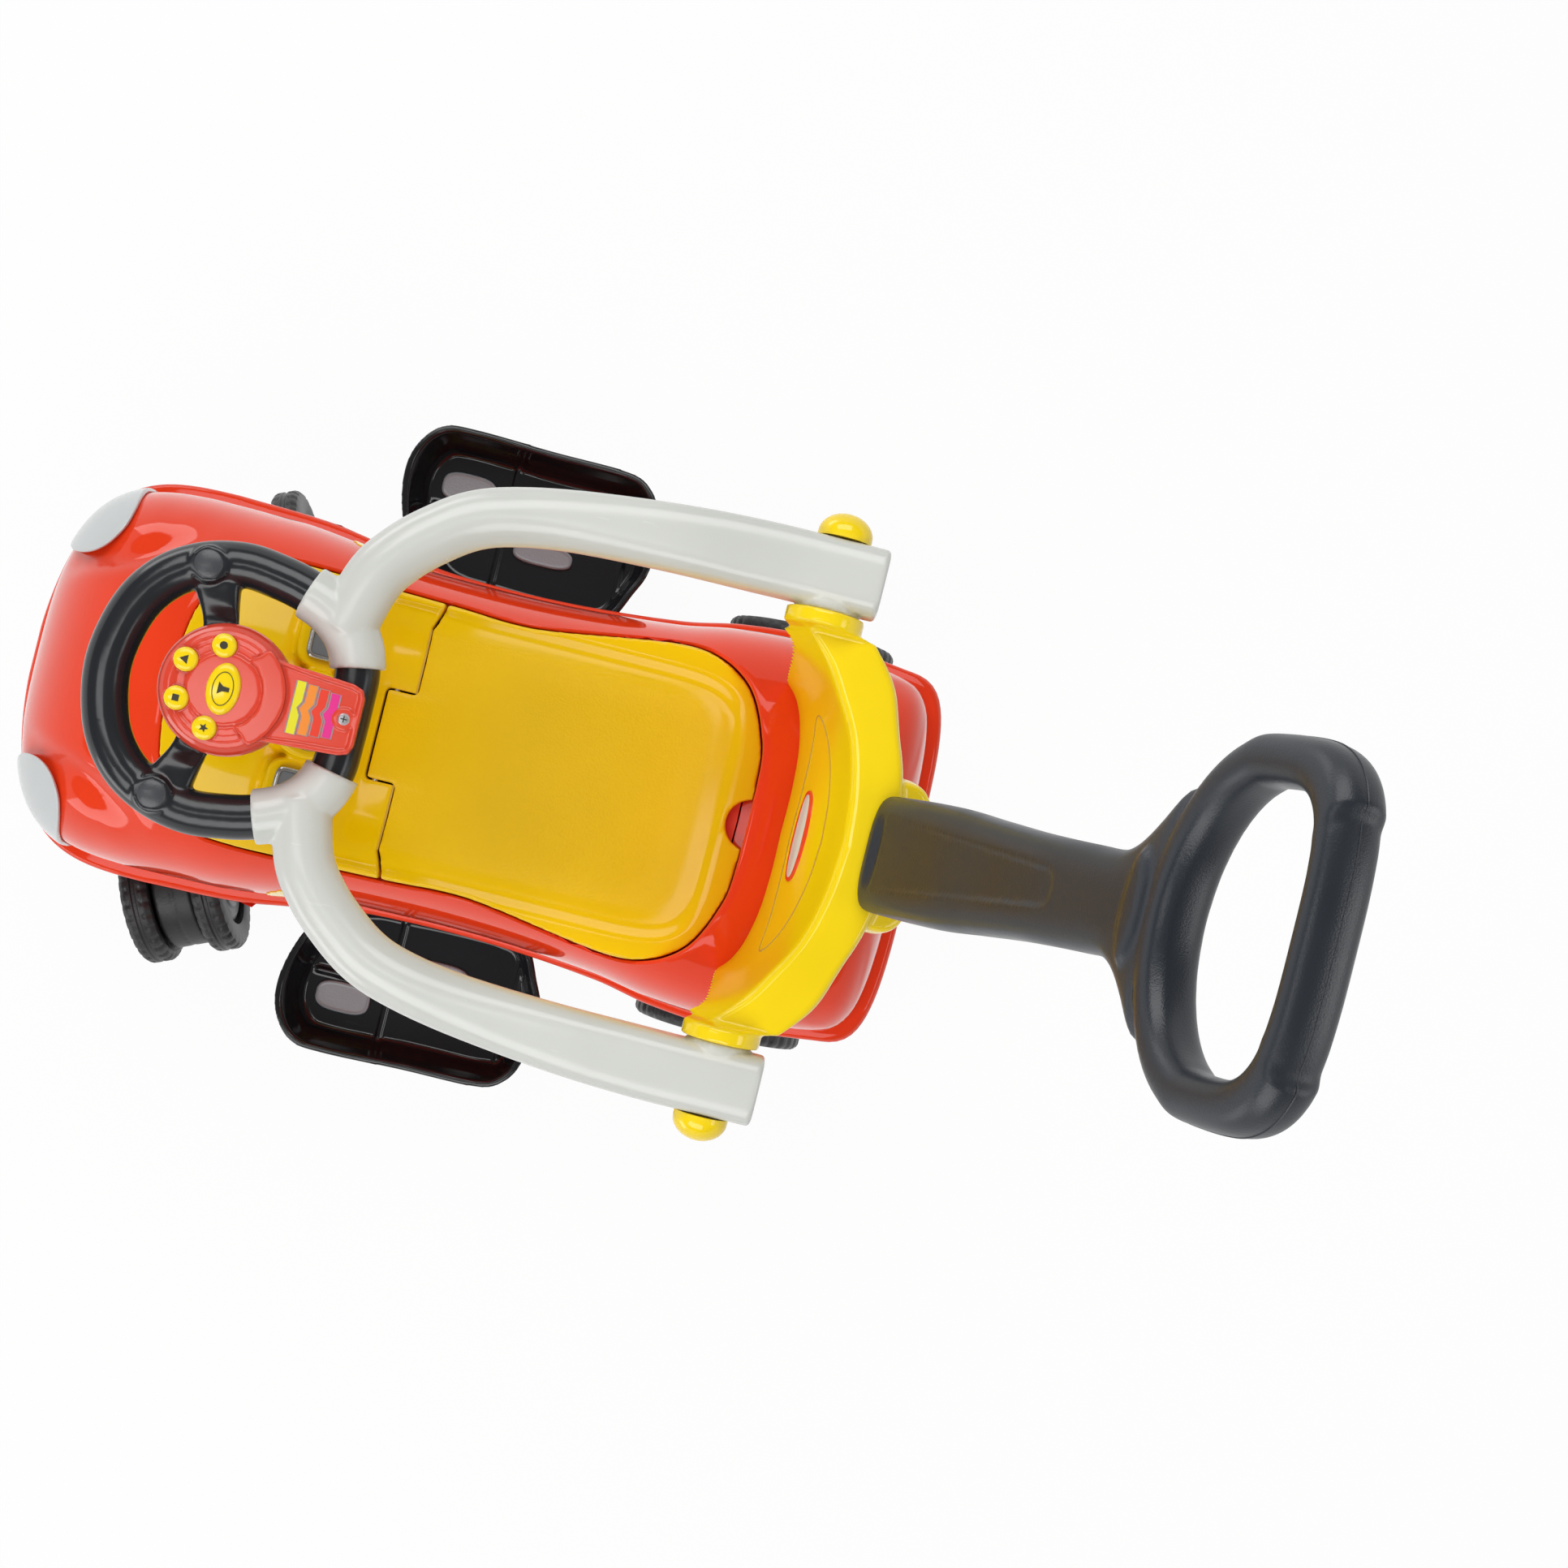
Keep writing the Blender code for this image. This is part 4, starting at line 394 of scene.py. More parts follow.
def upper_half(x):
    width = curve_value(x, WIDTHS) - curve_value(x, STEPS_OUT)
    return width * ends(x, NOSE_X - LEDGE_WIDTH, TAIL_X + LEDGE_WIDTH, 4.6, 2.1, 6.0, 4.0)


def skirt_height(x):
    return mix(SKIRT_HEIGHT, FRONT_SKIRT_HEIGHT, ease((x - 0.145) / 0.05))


def ledge_height(x):
    return curve_value(x, LEDGES)


def crown_height(x):
    base = ledge_height(x)
    fade = ends(x, NOSE_X - LEDGE_WIDTH, TAIL_X + LEDGE_WIDTH, 2.2, 1.6, 5.0, 2.5)
    return base + (curve_value(x, CROWNS) - base) * fade


def body_top(x, y):
    """Height of the upper body's outside over a point."""
    base = ledge_height(x)
    share = clamp(abs(y) / upper_half(x))
    return base + (crown_height(x) - base) * (1.0 - share ** CREST_POWER) ** (1.0 / CREST_POWER)


def body_stations(low, high):
    """Stations along the body, closer together near its ends."""
    last = SOLID_STATIONS - 1
    inner = [0.5 - 0.5 * math.cos(math.pi * (0.06 + 0.88 * i / last)) for i in range(1, last)]
    return [mix(low, high, share) for share in (0.0, *inner, 1.0)]


def flange_solid(grow):
    """Closed form of the rocker flange, a little larger all round."""
    rings = []
    for x in body_stations(TAIL_X, NOSE_X):
        w = flange_half(x) + grow
        low, high = skirt_height(x) - grow, ledge_height(x) + grow
        half = [(w - 0.003, low), (w, low + 0.003), (w, high - 0.006), (w - 0.002, high - 0.0015),
                (w - 0.006, high)]
        along = x + math.copysign(grow, x)
        rings.append([(along, y, z) for y, z in half] + [(along, -y, z) for y, z in reversed(half)])
    return loft(rings)


def upper_solid(start):
    """Closed form of the rounded upper body, from one station to the nose."""
    power = 2.0 / CREST_POWER
    rings = []
    for x in body_stations(start, NOSE_X - LEDGE_WIDTH):
        base = ledge_height(x)
        half, top = upper_half(x), crown_height(x)
        arch = []
        for i in range(ARCH_STEPS + 1):
            turn = math.pi * i / ARCH_STEPS
            arch.append((x, half * signed_power(math.cos(turn), power),
                         base + (top - base) * abs(math.sin(turn)) ** power))
        rings.append([(x, half, base - 0.012)] + arch + [(x, -half, base - 0.012)])
    return loft(rings)


# Seat and dash together, from above
SEAT_OUTLINE = mirrored(smooth_path([
    (LID_REAR_X, 0.0), (LID_REAR_X + 0.001, 0.04), (LID_REAR_X + 0.006, 0.06),
    (LID_REAR_X + 0.014, 0.078), (LID_REAR_X + 0.024, 0.09), (LID_REAR_X + 0.039, LID_HALF_WIDTH - 0.0045),
    (LID_REAR_X + 0.059, LID_HALF_WIDTH), (LID_REAR_X + 0.089, LID_HALF_WIDTH - 0.0025),
    (LID_REAR_X + 0.149, LID_HALF_WIDTH - 0.012), (LID_REAR_X + 0.179, LID_HALF_WIDTH - 0.014),
    (LID_FRONT_X - 0.008, LID_HALF_WIDTH - 0.012), (LID_FRONT_X + 0.057, LID_HALF_WIDTH - 0.0105),
    (PANEL_FRONT_X - 0.048, LID_HALF_WIDTH - 0.0115), (PANEL_FRONT_X - 0.033, LID_HALF_WIDTH - 0.0155),
    (PANEL_FRONT_X - 0.016, 0.07), (PANEL_FRONT_X - 0.005, 0.045), (PANEL_FRONT_X, 0.0)], 6))


def relief(low_x, high_x, half_y, columns, rows, top, bottom):
    """Block with a shaped top over a rectangle and a flat underside."""
    shape = bmesh.new()
    grids = []
    for level in range(2):
        grid = []
        for i in range(columns + 1):
            x = mix(low_x, high_x, i / columns)
            row = []
            for j in range(rows + 1):
                y = mix(-half_y, half_y, j / rows)
                row.append(shape.verts.new((x, y, max(top(x, y), bottom + 0.003) if level else bottom)))
            grid.append(row)
        grids.append(grid)
    for grid in grids:
        for i in range(columns):
            for j in range(rows):
                shape.faces.new((grid[i][j], grid[i + 1][j], grid[i + 1][j + 1], grid[i][j + 1]))
    below, above = grids
    border = ([(i, 0) for i in range(columns)] + [(columns, j) for j in range(rows)]
              + [(i, rows) for i in range(columns, 0, -1)] + [(0, j) for j in range(rows, 0, -1)])
    for k, (i, j) in enumerate(border):
        m, n = border[(k + 1) % len(border)]
        shape.faces.new((below[i][j], below[m][n], above[m][n], above[i][j]))
    return shape


def pod_matrix(spot):
    return Matrix.Translation(spot) @ Matrix.Rotation(-POD_TILT, 4, "Y")


def window_matrix(side):
    return pod_matrix((WINDOW_SPOT[0], side * WINDOW_SPOT[1], WINDOW_SPOT[2]))


def steering_matrix():
    return Matrix.Translation((HUB_X, 0.0, HUB_Z)) @ Matrix.Rotation(-WHEEL_TILT, 4, "Y")


# Ring of the steering wheel in its own plane, from its front round its left side to the bar
RING_HALF = [(0.068, 0.0), (0.062, 0.032), (0.049, 0.053), (0.03, 0.066), (0.008, 0.0715),
             (-0.012, 0.07), (-0.03, 0.066), (-0.047, 0.0585), (-0.06, 0.046), (-0.0665, 0.03),
             (-0.0675, 0.01)]
RING_OUTLINE = RING_HALF + [(x, -y) for x, y in reversed(RING_HALF[1:])]
RING_SPAN_STEPS = 10
# A rail leaves the ring at this corner, and its sleeve covers this part of the ring's path
SLEEVE_CORNER = RING_HALF[8]
SLEEVE_PATH = slice(6 * RING_SPAN_STEPS, 9 * RING_SPAN_STEPS + 1)
BAR_X = RING_HALF[-1][0]
# Each spoke: distance out, place along the car, half width and half thickness
SPOKE_STATIONS = ((0.025, 0.011, 0.01, 0.0027), (HUB_RADIUS + 0.001, 0.014, 0.0105, 0.0027),
                  (0.048, 0.0175, 0.012, 0.0065), (0.062, 0.022, 0.0145, 0.0085),
                  (0.071, 0.022, 0.014, 0.0085))


def polar(radius, degrees):
    turn = math.radians(degrees)
    return (radius * math.cos(turn), radius * math.sin(turn))


# How far forward the backrest's foot and its top edge have come at each distance from the middle
BACKREST_BOW = ((0.0, 0.0), (0.03, -0.001), (0.06, 0.0), (0.085, 0.006), (0.1, 0.02), (0.115, 0.042))
BACKREST_TOP_BOW = ((0.0, 0.0), (0.03, 0.003), (0.06, 0.011), (0.085, 0.025), (0.1, 0.035), (0.115, 0.048))


def cornered(direction, round_u, round_v):
    """Point in one direction on the unit square with elliptical corners."""
    c, s = math.cos(direction), math.sin(direction)
    reach = max(abs(c), abs(s))
    u, v = c / reach, s / reach
    over = (max(0.0, abs(u) - 1.0 + round_u) / round_u, max(0.0, abs(v) - 1.0 + round_v) / round_v)
    length = math.hypot(*over)
    if over[0] > 0.0 and over[1] > 0.0 and length > 1.0:
        u = math.copysign(1.0 - round_u + round_u * over[0] / length, u)
        v = math.copysign(1.0 - round_v + round_v * over[1] / length, v)
    return u, v


def backrest_section(y):
    """Cross-section of the backrest at one side distance: a leaning slab that ends as a collar."""
    count = 120
    a = abs(y)
    bow = curve_value(a, BACKREST_BOW)
    top_bow = curve_value(a, BACKREST_TOP_BOW)
    rise = ease((a - 0.092) / 0.022)
    floor = mix(TAIL_HEIGHT - 0.004, COLLAR_Z - COLLAR_RADIUS, rise)
    lean = 0.042
    front_low = COLLAR_X + bow + 0.002 - lean * 0.5 * rise
    front_top = COLLAR_X - lean + top_bow
    thick = BACKREST_THICKNESS + 0.008 * ease((a - 0.06) / 0.04)
    corners = ((front_low, floor), (front_top, BACKREST_TOP),
               (front_top - thick, BACKREST_TOP - 0.003), (front_low - 0.048, floor))
    collar = rounded(COLLAR_RADIUS, COLLAR_RADIUS, 2.0, count)
    t = ease((a - 0.115) / 0.0035)
    ring = []
    for i in range(count):
        u, v = cornered(2.0 * math.pi * (i + 0.5) / count, 0.3, 0.065 if a < 0.09 else mix(0.065, 0.3, t))
        s, r = 0.5 + 0.5 * u, 0.5 + 0.5 * v
        x = mix(mix(corners[3][0], corners[0][0], s), mix(corners[2][0], corners[1][0], s), r)
        z = mix(mix(corners[3][1], corners[0][1], s), mix(corners[2][1], corners[1][1], s), r)
        ring.append((mix(x, COLLAR_X + collar[i][0], t), mix(z, COLLAR_Z + collar[i][1], t)))
    return ring


HANDLE_UP = Vector((-math.sin(HANDLE_LEAN), 0.0, math.cos(HANDLE_LEAN)))
HANDLE_FRONT = Vector((math.cos(HANDLE_LEAN), 0.0, math.sin(HANDLE_LEAN)))
HANDLE_FOOT = Vector((HANDLE_BASE_X, 0.0, HANDLE_BASE_Z))


def handle_point(across, along, forward):
    """Point in the push handle's own leaning plane."""
    return HANDLE_FOOT + HANDLE_UP * along + HANDLE_FRONT * forward + Vector((0.0, across, 0.0))


def loop_point(turn, half_width, half_length):
    """Point on the grip loop's outline: an ellipse below, squarer at the grip bar."""
    s = math.sin(turn)
    power = 2.0 / mix(2.0, 3.5, ease(0.5 + 1.5 * s))
    return (half_width * signed_power(math.cos(turn), power), half_length * signed_power(s, power))


# Left foot tray from above
TRAY_OUTLINE = [(0.169, 0.19), (0.164, 0.212), (0.149, TRAY_OUTER_Y - 0.003), (0.124, TRAY_OUTER_Y),
                (0.067, TRAY_OUTER_Y - 0.002), (0.014, TRAY_OUTER_Y - 0.003), (-0.005, TRAY_OUTER_Y - 0.01),
                (-0.016, 0.203), (-0.02, 0.165), (-0.012, 0.142), (0.0, 0.12), (0.022, 0.112),
                (0.082, 0.112), (0.127, 0.116), (0.152, 0.138), (0.164, 0.162)]
# Each pad: place along and across the car, half its length and half its width
PAD_SPOTS = {"front": (0.126, 0.192, 0.02, 0.011), "rear": (0.062, 0.158, 0.022, 0.008)}


# Headlamps on the front corners, outlined in plan, and where the body form that they follow starts
LAMP_START_X = 0.24
LAMP_OUTLINE = [(0.32, 0.126), (0.337, 0.113), (0.349, 0.092), (0.351, 0.076), (0.344, 0.07),
                (0.334, 0.068), (0.3225, 0.069), (0.3125, 0.0735), (0.305, 0.0815), (0.3005, 0.093),
                (0.3025, 0.108), (0.3105, 0.1215)]


def grown(shape, distance):
    """Move every point of a closed shape out along its surface."""
    bmesh.ops.recalc_face_normals(shape, faces=shape.faces)
    shape.normal_update()
    for vert in shape.verts:
        vert.co += vert.normal * distance
    return shape


def calculated(tree, operation, first, second):
    """Result of a new math node for two sockets or numbers."""
    step = tree.nodes.new("ShaderNodeMath")
    step.operation = operation
    for socket, value in zip(step.inputs, (first, second)):
        if isinstance(value, float):
            socket.default_value = value
        else:
            tree.links.new(value, socket)
    return step.outputs["Value"]


def ranged(tree, value, from_low, from_high, to_low, to_high):
    """A value's range mapped on another one and clamped to it."""
    step = tree.nodes.new("ShaderNodeMapRange")
    limits = {"From Min": from_low, "From Max": from_high, "To Min": to_low, "To Max": to_high}
    for socket, number in limits.items():
        step.inputs[socket].default_value = number
    tree.links.new(value, step.inputs["Value"])
    return step.outputs["Result"]


def tinted(tree, factor, first, second):
    """Blend of two colours, each a tuple or a socket."""
    step = tree.nodes.new("ShaderNodeMix")
    step.data_type = "RGBA"
    tree.links.new(factor, step.inputs[0])
    for k, value in ((6, first), (7, second)):
        if isinstance(value, tuple):
            step.inputs[k].default_value = (*value, 1.0)
        else:
            tree.links.new(value, step.inputs[k])
    return step.outputs[2]


def noise(tree, place, scale, detail, stretch=(1.0, 1.0, 1.0)):
    mapping = tree.nodes.new("ShaderNodeMapping")
    mapping.inputs["Scale"].default_value = stretch
    tree.links.new(place, mapping.inputs["Vector"])
    texture = tree.nodes.new("ShaderNodeTexNoise")
    texture.inputs["Scale"].default_value = scale
    texture.inputs["Detail"].default_value = detail
    tree.links.new(mapping.outputs["Vector"], texture.inputs["Vector"])
    return texture.outputs["Fac"]


def worn_with_painted_shade(tree, place, colour, wear):
    """Colour with flow marks, painted shade in hollows and burnished edges, and how burnished each spot is.
    """
    deep = tuple(c * 0.965 for c in colour)
    light = tuple(min(1.0, c * 1.03 + 0.001) for c in colour)
    burnished = tuple(min(1.0, c * 0.8 + 0.16) for c in colour)
    # A darker copy of the colour for the hollows: painted shade
    painted_shade = tuple(c * 0.55 + 0.012 for c in colour)
    edge = tree.nodes.new("ShaderNodeNewGeometry").outputs["Pointiness"]
    worn = ranged(tree, edge, 0.53, 0.6, 0.0, wear)
    worn = calculated(tree, "MULTIPLY", worn, noise(tree, place, 90.0, 3.0))
    # Hollows found by pointiness take the darker colour: painted shade
    painted_shade_mask = ranged(tree, edge, 0.47, 0.41, 0.0, 0.45)
    shade = tinted(tree, ranged(tree, noise(tree, place, 9.0, 3.0), 0.35, 0.65, 0.0, 1.0), deep, light)
    shade = tinted(tree, painted_shade_mask, shade, painted_shade)
    return tinted(tree, worn, shade, burnished), worn


def plastic(name, colour, roughness, grain=0.0, grain_scale=700.0, masked=False, metallic=0.0, wear=0.35,
            peel=0.35, specular=0.5):
    """Moulded plastic: flow marks, painted shade in hollows, faint orange peel, hairline scuffs and burnished
    edges.
    """
    made = bpy.data.materials.new(name)
    made.use_nodes = True
    tree = made.node_tree
    shader = tree.nodes["Principled BSDF"]
    shader.inputs["Metallic"].default_value = metallic
    shader.inputs["Specular IOR Level"].default_value = specular
    place = tree.nodes.new("ShaderNodeTexCoord").outputs["Object"]
    shade, worn = worn_with_painted_shade(tree, place, colour, wear)
    tree.links.new(shade, shader.inputs["Base Color"])
    scuffs = ranged(tree, noise(tree, place, 38.0, 4.0, (1.0, 7.0, 2.0)), 0.66, 0.74, 0.0, 0.06)
    smudge = ranged(tree, noise(tree, place, 14.0, 3.0), 0.3, 0.7, roughness * 0.8, roughness * 1.25)
    rough = calculated(tree, "ADD", smudge, scuffs)
    rough = calculated(tree, "ADD", rough, calculated(tree, "MULTIPLY", worn, 0.4))
    if masked:
        mask = tree.nodes.new("ShaderNodeAttribute")
        mask.attribute_name = "grain"
        rough = calculated(tree, "ADD", rough, calculated(tree, "MULTIPLY", mask.outputs["Fac"], 0.22))
    tree.links.new(rough, shader.inputs["Roughness"])
    relief_height = calculated(tree, "MULTIPLY", noise(tree, place, 160.0, 1.0), peel)
    if grain > 0.0:
        pebbles = tree.nodes.new("ShaderNodeTexVoronoi")
        pebbles.inputs["Scale"].default_value = grain_scale
        tree.links.new(place, pebbles.inputs["Vector"])
        height = calculated(tree, "MULTIPLY", pebbles.outputs["Distance"], grain)
        if masked:
            height = calculated(tree, "MULTIPLY", height, mask.outputs["Fac"])
        relief_height = calculated(tree, "ADD", relief_height, height)
    bump = tree.nodes.new("ShaderNodeBump")
    bump.inputs["Strength"].default_value = 0.35
    bump.inputs["Distance"].default_value = 0.00022
    tree.links.new(relief_height, bump.inputs["Height"])
    tree.links.new(bump.outputs["Normal"], shader.inputs["Normal"])
    return made


RED = plastic("red_gloss", (0.88, 0.05, 0.01), 0.06, peel=0.05, specular=0.3)
HUB_RED = plastic("hub_red", (0.72, 0.06, 0.03), 0.14, peel=0.12)
SEAT_YELLOW = plastic("seat_yellow", (0.92, 0.57, 0.0002), 0.1, 2.2, 620.0, masked=True, peel=0.06,
                      specular=0.26)
YELLOW = plastic("bright_yellow", (0.98, 0.7, 0.004), 0.11, peel=0.08)
# Darker yellow that stands for shade: painted shade in the parting line's gap and along the backrest's fine
# border line
SEAM_SHADE_YELLOW = plastic("seam_shade_yellow", (0.62, 0.36, 0.05), 0.3, wear=0.0)
WHITE = plastic("off_white", (0.64, 0.65, 0.61), 0.22, 0.2, 900.0, peel=0.2)
BLACK = plastic("black_gloss", (0.01, 0.011, 0.013), 0.085, wear=0.1, peel=0.1)
CHARCOAL = plastic("charcoal", (0.018, 0.022, 0.029), 0.34, 0.7, 1100.0, wear=0.12, specular=0.45)
RING_BLACK = plastic("ring_black", (0.014, 0.016, 0.019), 0.2, wear=0.1)
TYRE = plastic("wheel_black", (0.016, 0.016, 0.018), 0.42, 1.2, 800.0, wear=0.15)
GREY = plastic("grey_plastic", (0.15, 0.16, 0.175), 0.34, 1.0, 900.0, wear=0.15)
CAP_GREY = plastic("cap_grey", (0.055, 0.058, 0.064), 0.3, 0.6, 900.0, wear=0.15)
PAD_GREY = plastic("pad_grey", (0.27, 0.28, 0.3), 0.32, 1.4, 520.0, wear=0.15)
SILVER = plastic("silver_trim", (0.56, 0.56, 0.55), 0.2, metallic=0.85, wear=0.1)
LENS = plastic("lens_white", (0.6, 0.63, 0.63), 0.07, wear=0.05, peel=0.1)
STEEL = plastic("steel", (0.58, 0.58, 0.6), 0.28, metallic=1.0, wear=0.1)
GREEN = plastic("board_green", (0.02, 0.16, 0.05), 0.45, wear=0.1)
# Dark ink for printed ticks and signs, also used as painted shade in the screw's slots
INK_AND_SHADE = plastic("ink_and_painted_shade", (0.035, 0.028, 0.012), 0.35, wear=0.0)
STICKER = {name: plastic("sticker_" + name, colour, 0.3, wear=0.0) for name, colour in (
    ("grey", (0.3, 0.29, 0.29)), ("yellow", (0.8, 0.73, 0.01)), ("orange", (0.9, 0.27, 0.025)),
    ("red", (0.82, 0.045, 0.015)), ("magenta", (0.8, 0.022, 0.26)))}


def mesh_object(name, shape):
    """Turn a bmesh into an object of the scene."""
    mesh = bpy.data.meshes.new(name)
    shape.to_mesh(mesh)
    shape.free()
    item = bpy.data.objects.new(name, mesh)
    bpy.context.collection.objects.link(item)
    return item


def shown(item, finish, body, stands_for=(), sharp=40.0):
    """Shade a finished piece and let it ride on its body."""
    item.data.transform(Matrix.Translation((CENTRING, 0.0, 0.0)))
    item.data.materials.clear()
    item.data.materials.append(finish)
    item.data.shade_smooth()
    item.data.set_sharp_from_angle(angle=math.radians(sharp))
    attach(item, body)
    if stands_for:
        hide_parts(*stands_for)
    return item


def piece(name, shape, finish, body, stands_for=(), sharp=40.0):
    """A closed bmesh as a shown piece."""
    bmesh.ops.recalc_face_normals(shape, faces=shape.faces)
    return shown(mesh_object(name, shape), finish, body, stands_for, sharp)


def evaluated(item):
    """Apply an object's modifiers to its mesh."""
    bpy.context.view_layer.update()
    result = item.evaluated_get(bpy.context.evaluated_depsgraph_get())
    final = bpy.data.meshes.new_from_object(result)
    item.modifiers.clear()
    item.data = final
    return item


def carved(shape, *cutters, operation="DIFFERENCE", solver="EXACT"):
    """Combine a closed bmesh with others by Booleans."""
    made = []
    for form in (shape, *cutters):
        bmesh.ops.recalc_face_normals(form, faces=form.faces)
        made.append(mesh_object("form", form))
    for cutter in made[1:]:
        step = made[0].modifiers.new("combine", "BOOLEAN")
        step.operation = operation
        step.solver = solver
        step.object = cutter
    evaluated(made[0])
    result = bmesh.new()
    result.from_mesh(made[0].data)
    for item in made:
        bpy.data.objects.remove(item, do_unlink=True)
    return result


def joined(shapes):
    """Put closed forms together in one bmesh."""
    whole = bmesh.new()
    for shape in shapes:
        bmesh.ops.recalc_face_normals(shape, faces=shape.faces)
        form = bpy.data.meshes.new("form")
        shape.to_mesh(form)
        shape.free()
        whole.from_mesh(form)
    return whole


def fused(name, shapes, voxel, finish, body, stands_for=(), rounds=5):
    """Melt closed forms into one moulding with softly rounded edges."""
    item = mesh_object(name, joined(shapes))
    fuse = item.modifiers.new("fuse", "REMESH")
    fuse.mode = "VOXEL"
    fuse.voxel_size = voxel
    fuse.use_smooth_shade = True
    soften = item.modifiers.new("soften", "SMOOTH")
    soften.factor = 0.5
    soften.iterations = rounds
    return shown(evaluated(item), finish, body, stands_for, 180.0)


def resampled(points, count):
    """Points at equal steps along an open line."""
    line = np.array(points, float)
    along = np.concatenate(([0.0], np.cumsum(np.linalg.norm(np.diff(line, axis=0), axis=1))))
    wanted = np.linspace(0.0, along[-1], count)
    return list(zip(*(np.interp(wanted, along, line[:, k]).tolist() for k in range(line.shape[1]))))


def plan_half(half_width, low, high):
    """Left half of a plan outline, from the middle of the tail to the middle of the nose."""
    stations = [mix(low, high, 0.5 - 0.5 * math.cos(math.pi * i / 400)) for i in range(401)]
    return [(low, 0.0)] + [(x, half_width(x)) for x in stations] + [(high, 0.0)]


def full_ring(half):
    return half + [(x, -y) for x, y in reversed(half[1:-1])]


# Bottom of the valley between the hood and each fender, from above
VALLEY = ((0.235, 0.098), (0.262, 0.081), (0.29, 0.069), (0.322, 0.062), (0.35, 0.057))


def body_detail(x, y):
    """Valleys between the hood and the fenders, and sunk panels in the tail deck."""
    a = abs(y)
    change = 0.0
    if x > 0.2:
        depth = 0.0055 * ease((x - 0.232) / 0.04) * (1.0 - ease((x - 0.33) / 0.032))
        aside = a - curve_value(x, VALLEY)
        change -= depth * math.exp(-(aside / (0.0055 if aside < 0.0 else 0.017)) ** 2)
    if x < -0.17:
        reach = ((abs(x + 0.2145) / 0.019) ** 4 + (abs(a - 0.083) / 0.036) ** 4) ** 0.25
        change -= 0.002 * (1.0 - ease((reach - 0.88) / 0.12))
    return change


def body_rings():
    """Rings up the body: skirt, rocker flange, ledge, crown and the lip round the seat."""
    flange = full_ring(resampled(plan_half(flange_half, TAIL_X, NOSE_X), HALF_POINTS))
    plan = plan_half(upper_half, TAIL_X + LEDGE_WIDTH, NOSE_X - LEDGE_WIDTH)
    base = full_ring(resampled(plan, HALF_POINTS))
    front = SEAT_OUTLINE.index((PANEL_FRONT_X, 0.0))
    opening = offset_outline(full_ring(resampled(SEAT_OUTLINE[:front + 1], HALF_POINTS)), 0.0008)
    shoulder = offset_outline(opening, 0.0022)
    rings = []
    for inset, share, rise in ((0.004, 0.0, 0.001), (0.0025, 0.0, 0.0), (0.001, 0.0, 0.0006),
                               (0.0, 0.0, 0.0025), (0.0, 0.33, 0.0), (0.0, 0.66, 0.0), (0.0, 1.0, -0.006)):
        rings.append([(x, y, mix(skirt_height(x), ledge_height(x), share) + rise)
                      for x, y in offset_outline(flange, -inset)])
    for share, drop in ((0.06, 0.003), (0.22, 0.001), (0.45, 0.0001), (0.8, 0.0), (0.96, -0.0004)):
        rings.append([(mix(f[0], b[0], share), mix(f[1], b[1], share), ledge_height(f[0]) - drop)
                      for f, b in zip(flange, base)])
    for k in range(1, CROWN_RINGS + 1):
        share = (k / CROWN_RINGS) ** 2.4
        ring = []
        for b, s in zip(base, shoulder):
            x, y = mix(b[0], s[0], share), mix(b[1], s[1], share)
            ring.append((x, y, body_top(x, y) + body_detail(x, y)))
        rings.append(ring)
    for outset, drop in ((0.001, 0.0003), (0.0003, 0.0009), (0.0, 0.0022)):
        rings.append([(x, y, body_top(*near) - drop)
                      for (x, y), near in zip(offset_outline(opening, outset), shoulder)])
    for outset, z in ((0.0, DECK_HEIGHT + 0.004), (0.0, DECK_HEIGHT + 0.001), (-0.007, DECK_HEIGHT)):
        rings.append([(x, y, z) for x, y in offset_outline(opening, outset)])
    return rings


def make_body():
    """Red moulding: one skin, thickened to a wall and cut for the rear wheels."""
    skin = loft(body_rings())
    skin.faces.ensure_lookup_table()
    bmesh.ops.delete(skin, geom=skin.faces[-2:], context="FACES_ONLY")
    bmesh.ops.recalc_face_normals(skin, faces=skin.faces)
    item = mesh_object("body_skin", skin)
    wall = item.modifiers.new("wall", "SOLIDIFY")
    wall.thickness = BODY_WALL
    wall.offset = -1.0
    evaluated(item)
    shape = bmesh.new()
    shape.from_mesh(item.data)
    bpy.data.objects.remove(item, do_unlink=True)
    arches = [rod(REAR_WHEEL_RADIUS + ARCH_CLEARANCE, -0.04, 0.04, 72, "Y",
                  (REAR_X, side * 0.136, REAR_WHEEL_RADIUS)) for _, side in SIDES]
    shape = carved(shape, *arches, solver="MANIFOLD")
    piece("body_skin", shape, RED, "car", ["body_shell"], 45.0)


def seat_edge(x, y):
    """0 in the middle of the seat, 1 at its sides and rear."""
    centre_x = 0.5 * (LID_REAR_X + LID_FRONT_X)
    rear = clamp((centre_x - x) / (0.5 * (LID_FRONT_X - LID_REAR_X)))
    side = abs(y) / LID_HALF_WIDTH
    return (side ** 6 + rear ** 6) ** (1.0 / 6.0)


def lid_top(x, y):
    """Dished seat whose dish ends in a fine curved crease."""
    edge = seat_edge(x, y)
    return SEAT_HEIGHT - 0.006 + 0.0032 * ease((edge - 0.5) / 0.3) + 0.0028 * ease((edge - 0.79) / 0.08)


def panel_top(x, y):
    """The seat's front, then the dash, which rises to the hood."""
    rise = ease((x - LID_FRONT_X - 0.022) / 0.06)
    return min(mix(lid_top(x, y), body_top(x, y) + 0.001, rise), body_top(x, y) + 0.001)


def box_outline(low_x, high_x, half_y):
    return [(low_x, -half_y), (high_x, -half_y), (high_x, half_y), (low_x, half_y)]


def seat_mould():
    """Straight mould of the outline that seat and dash share, a little smaller all round."""
    return prism(offset_outline(SEAT_OUTLINE, -SEAT_CLEARANCE), *THROUGH)


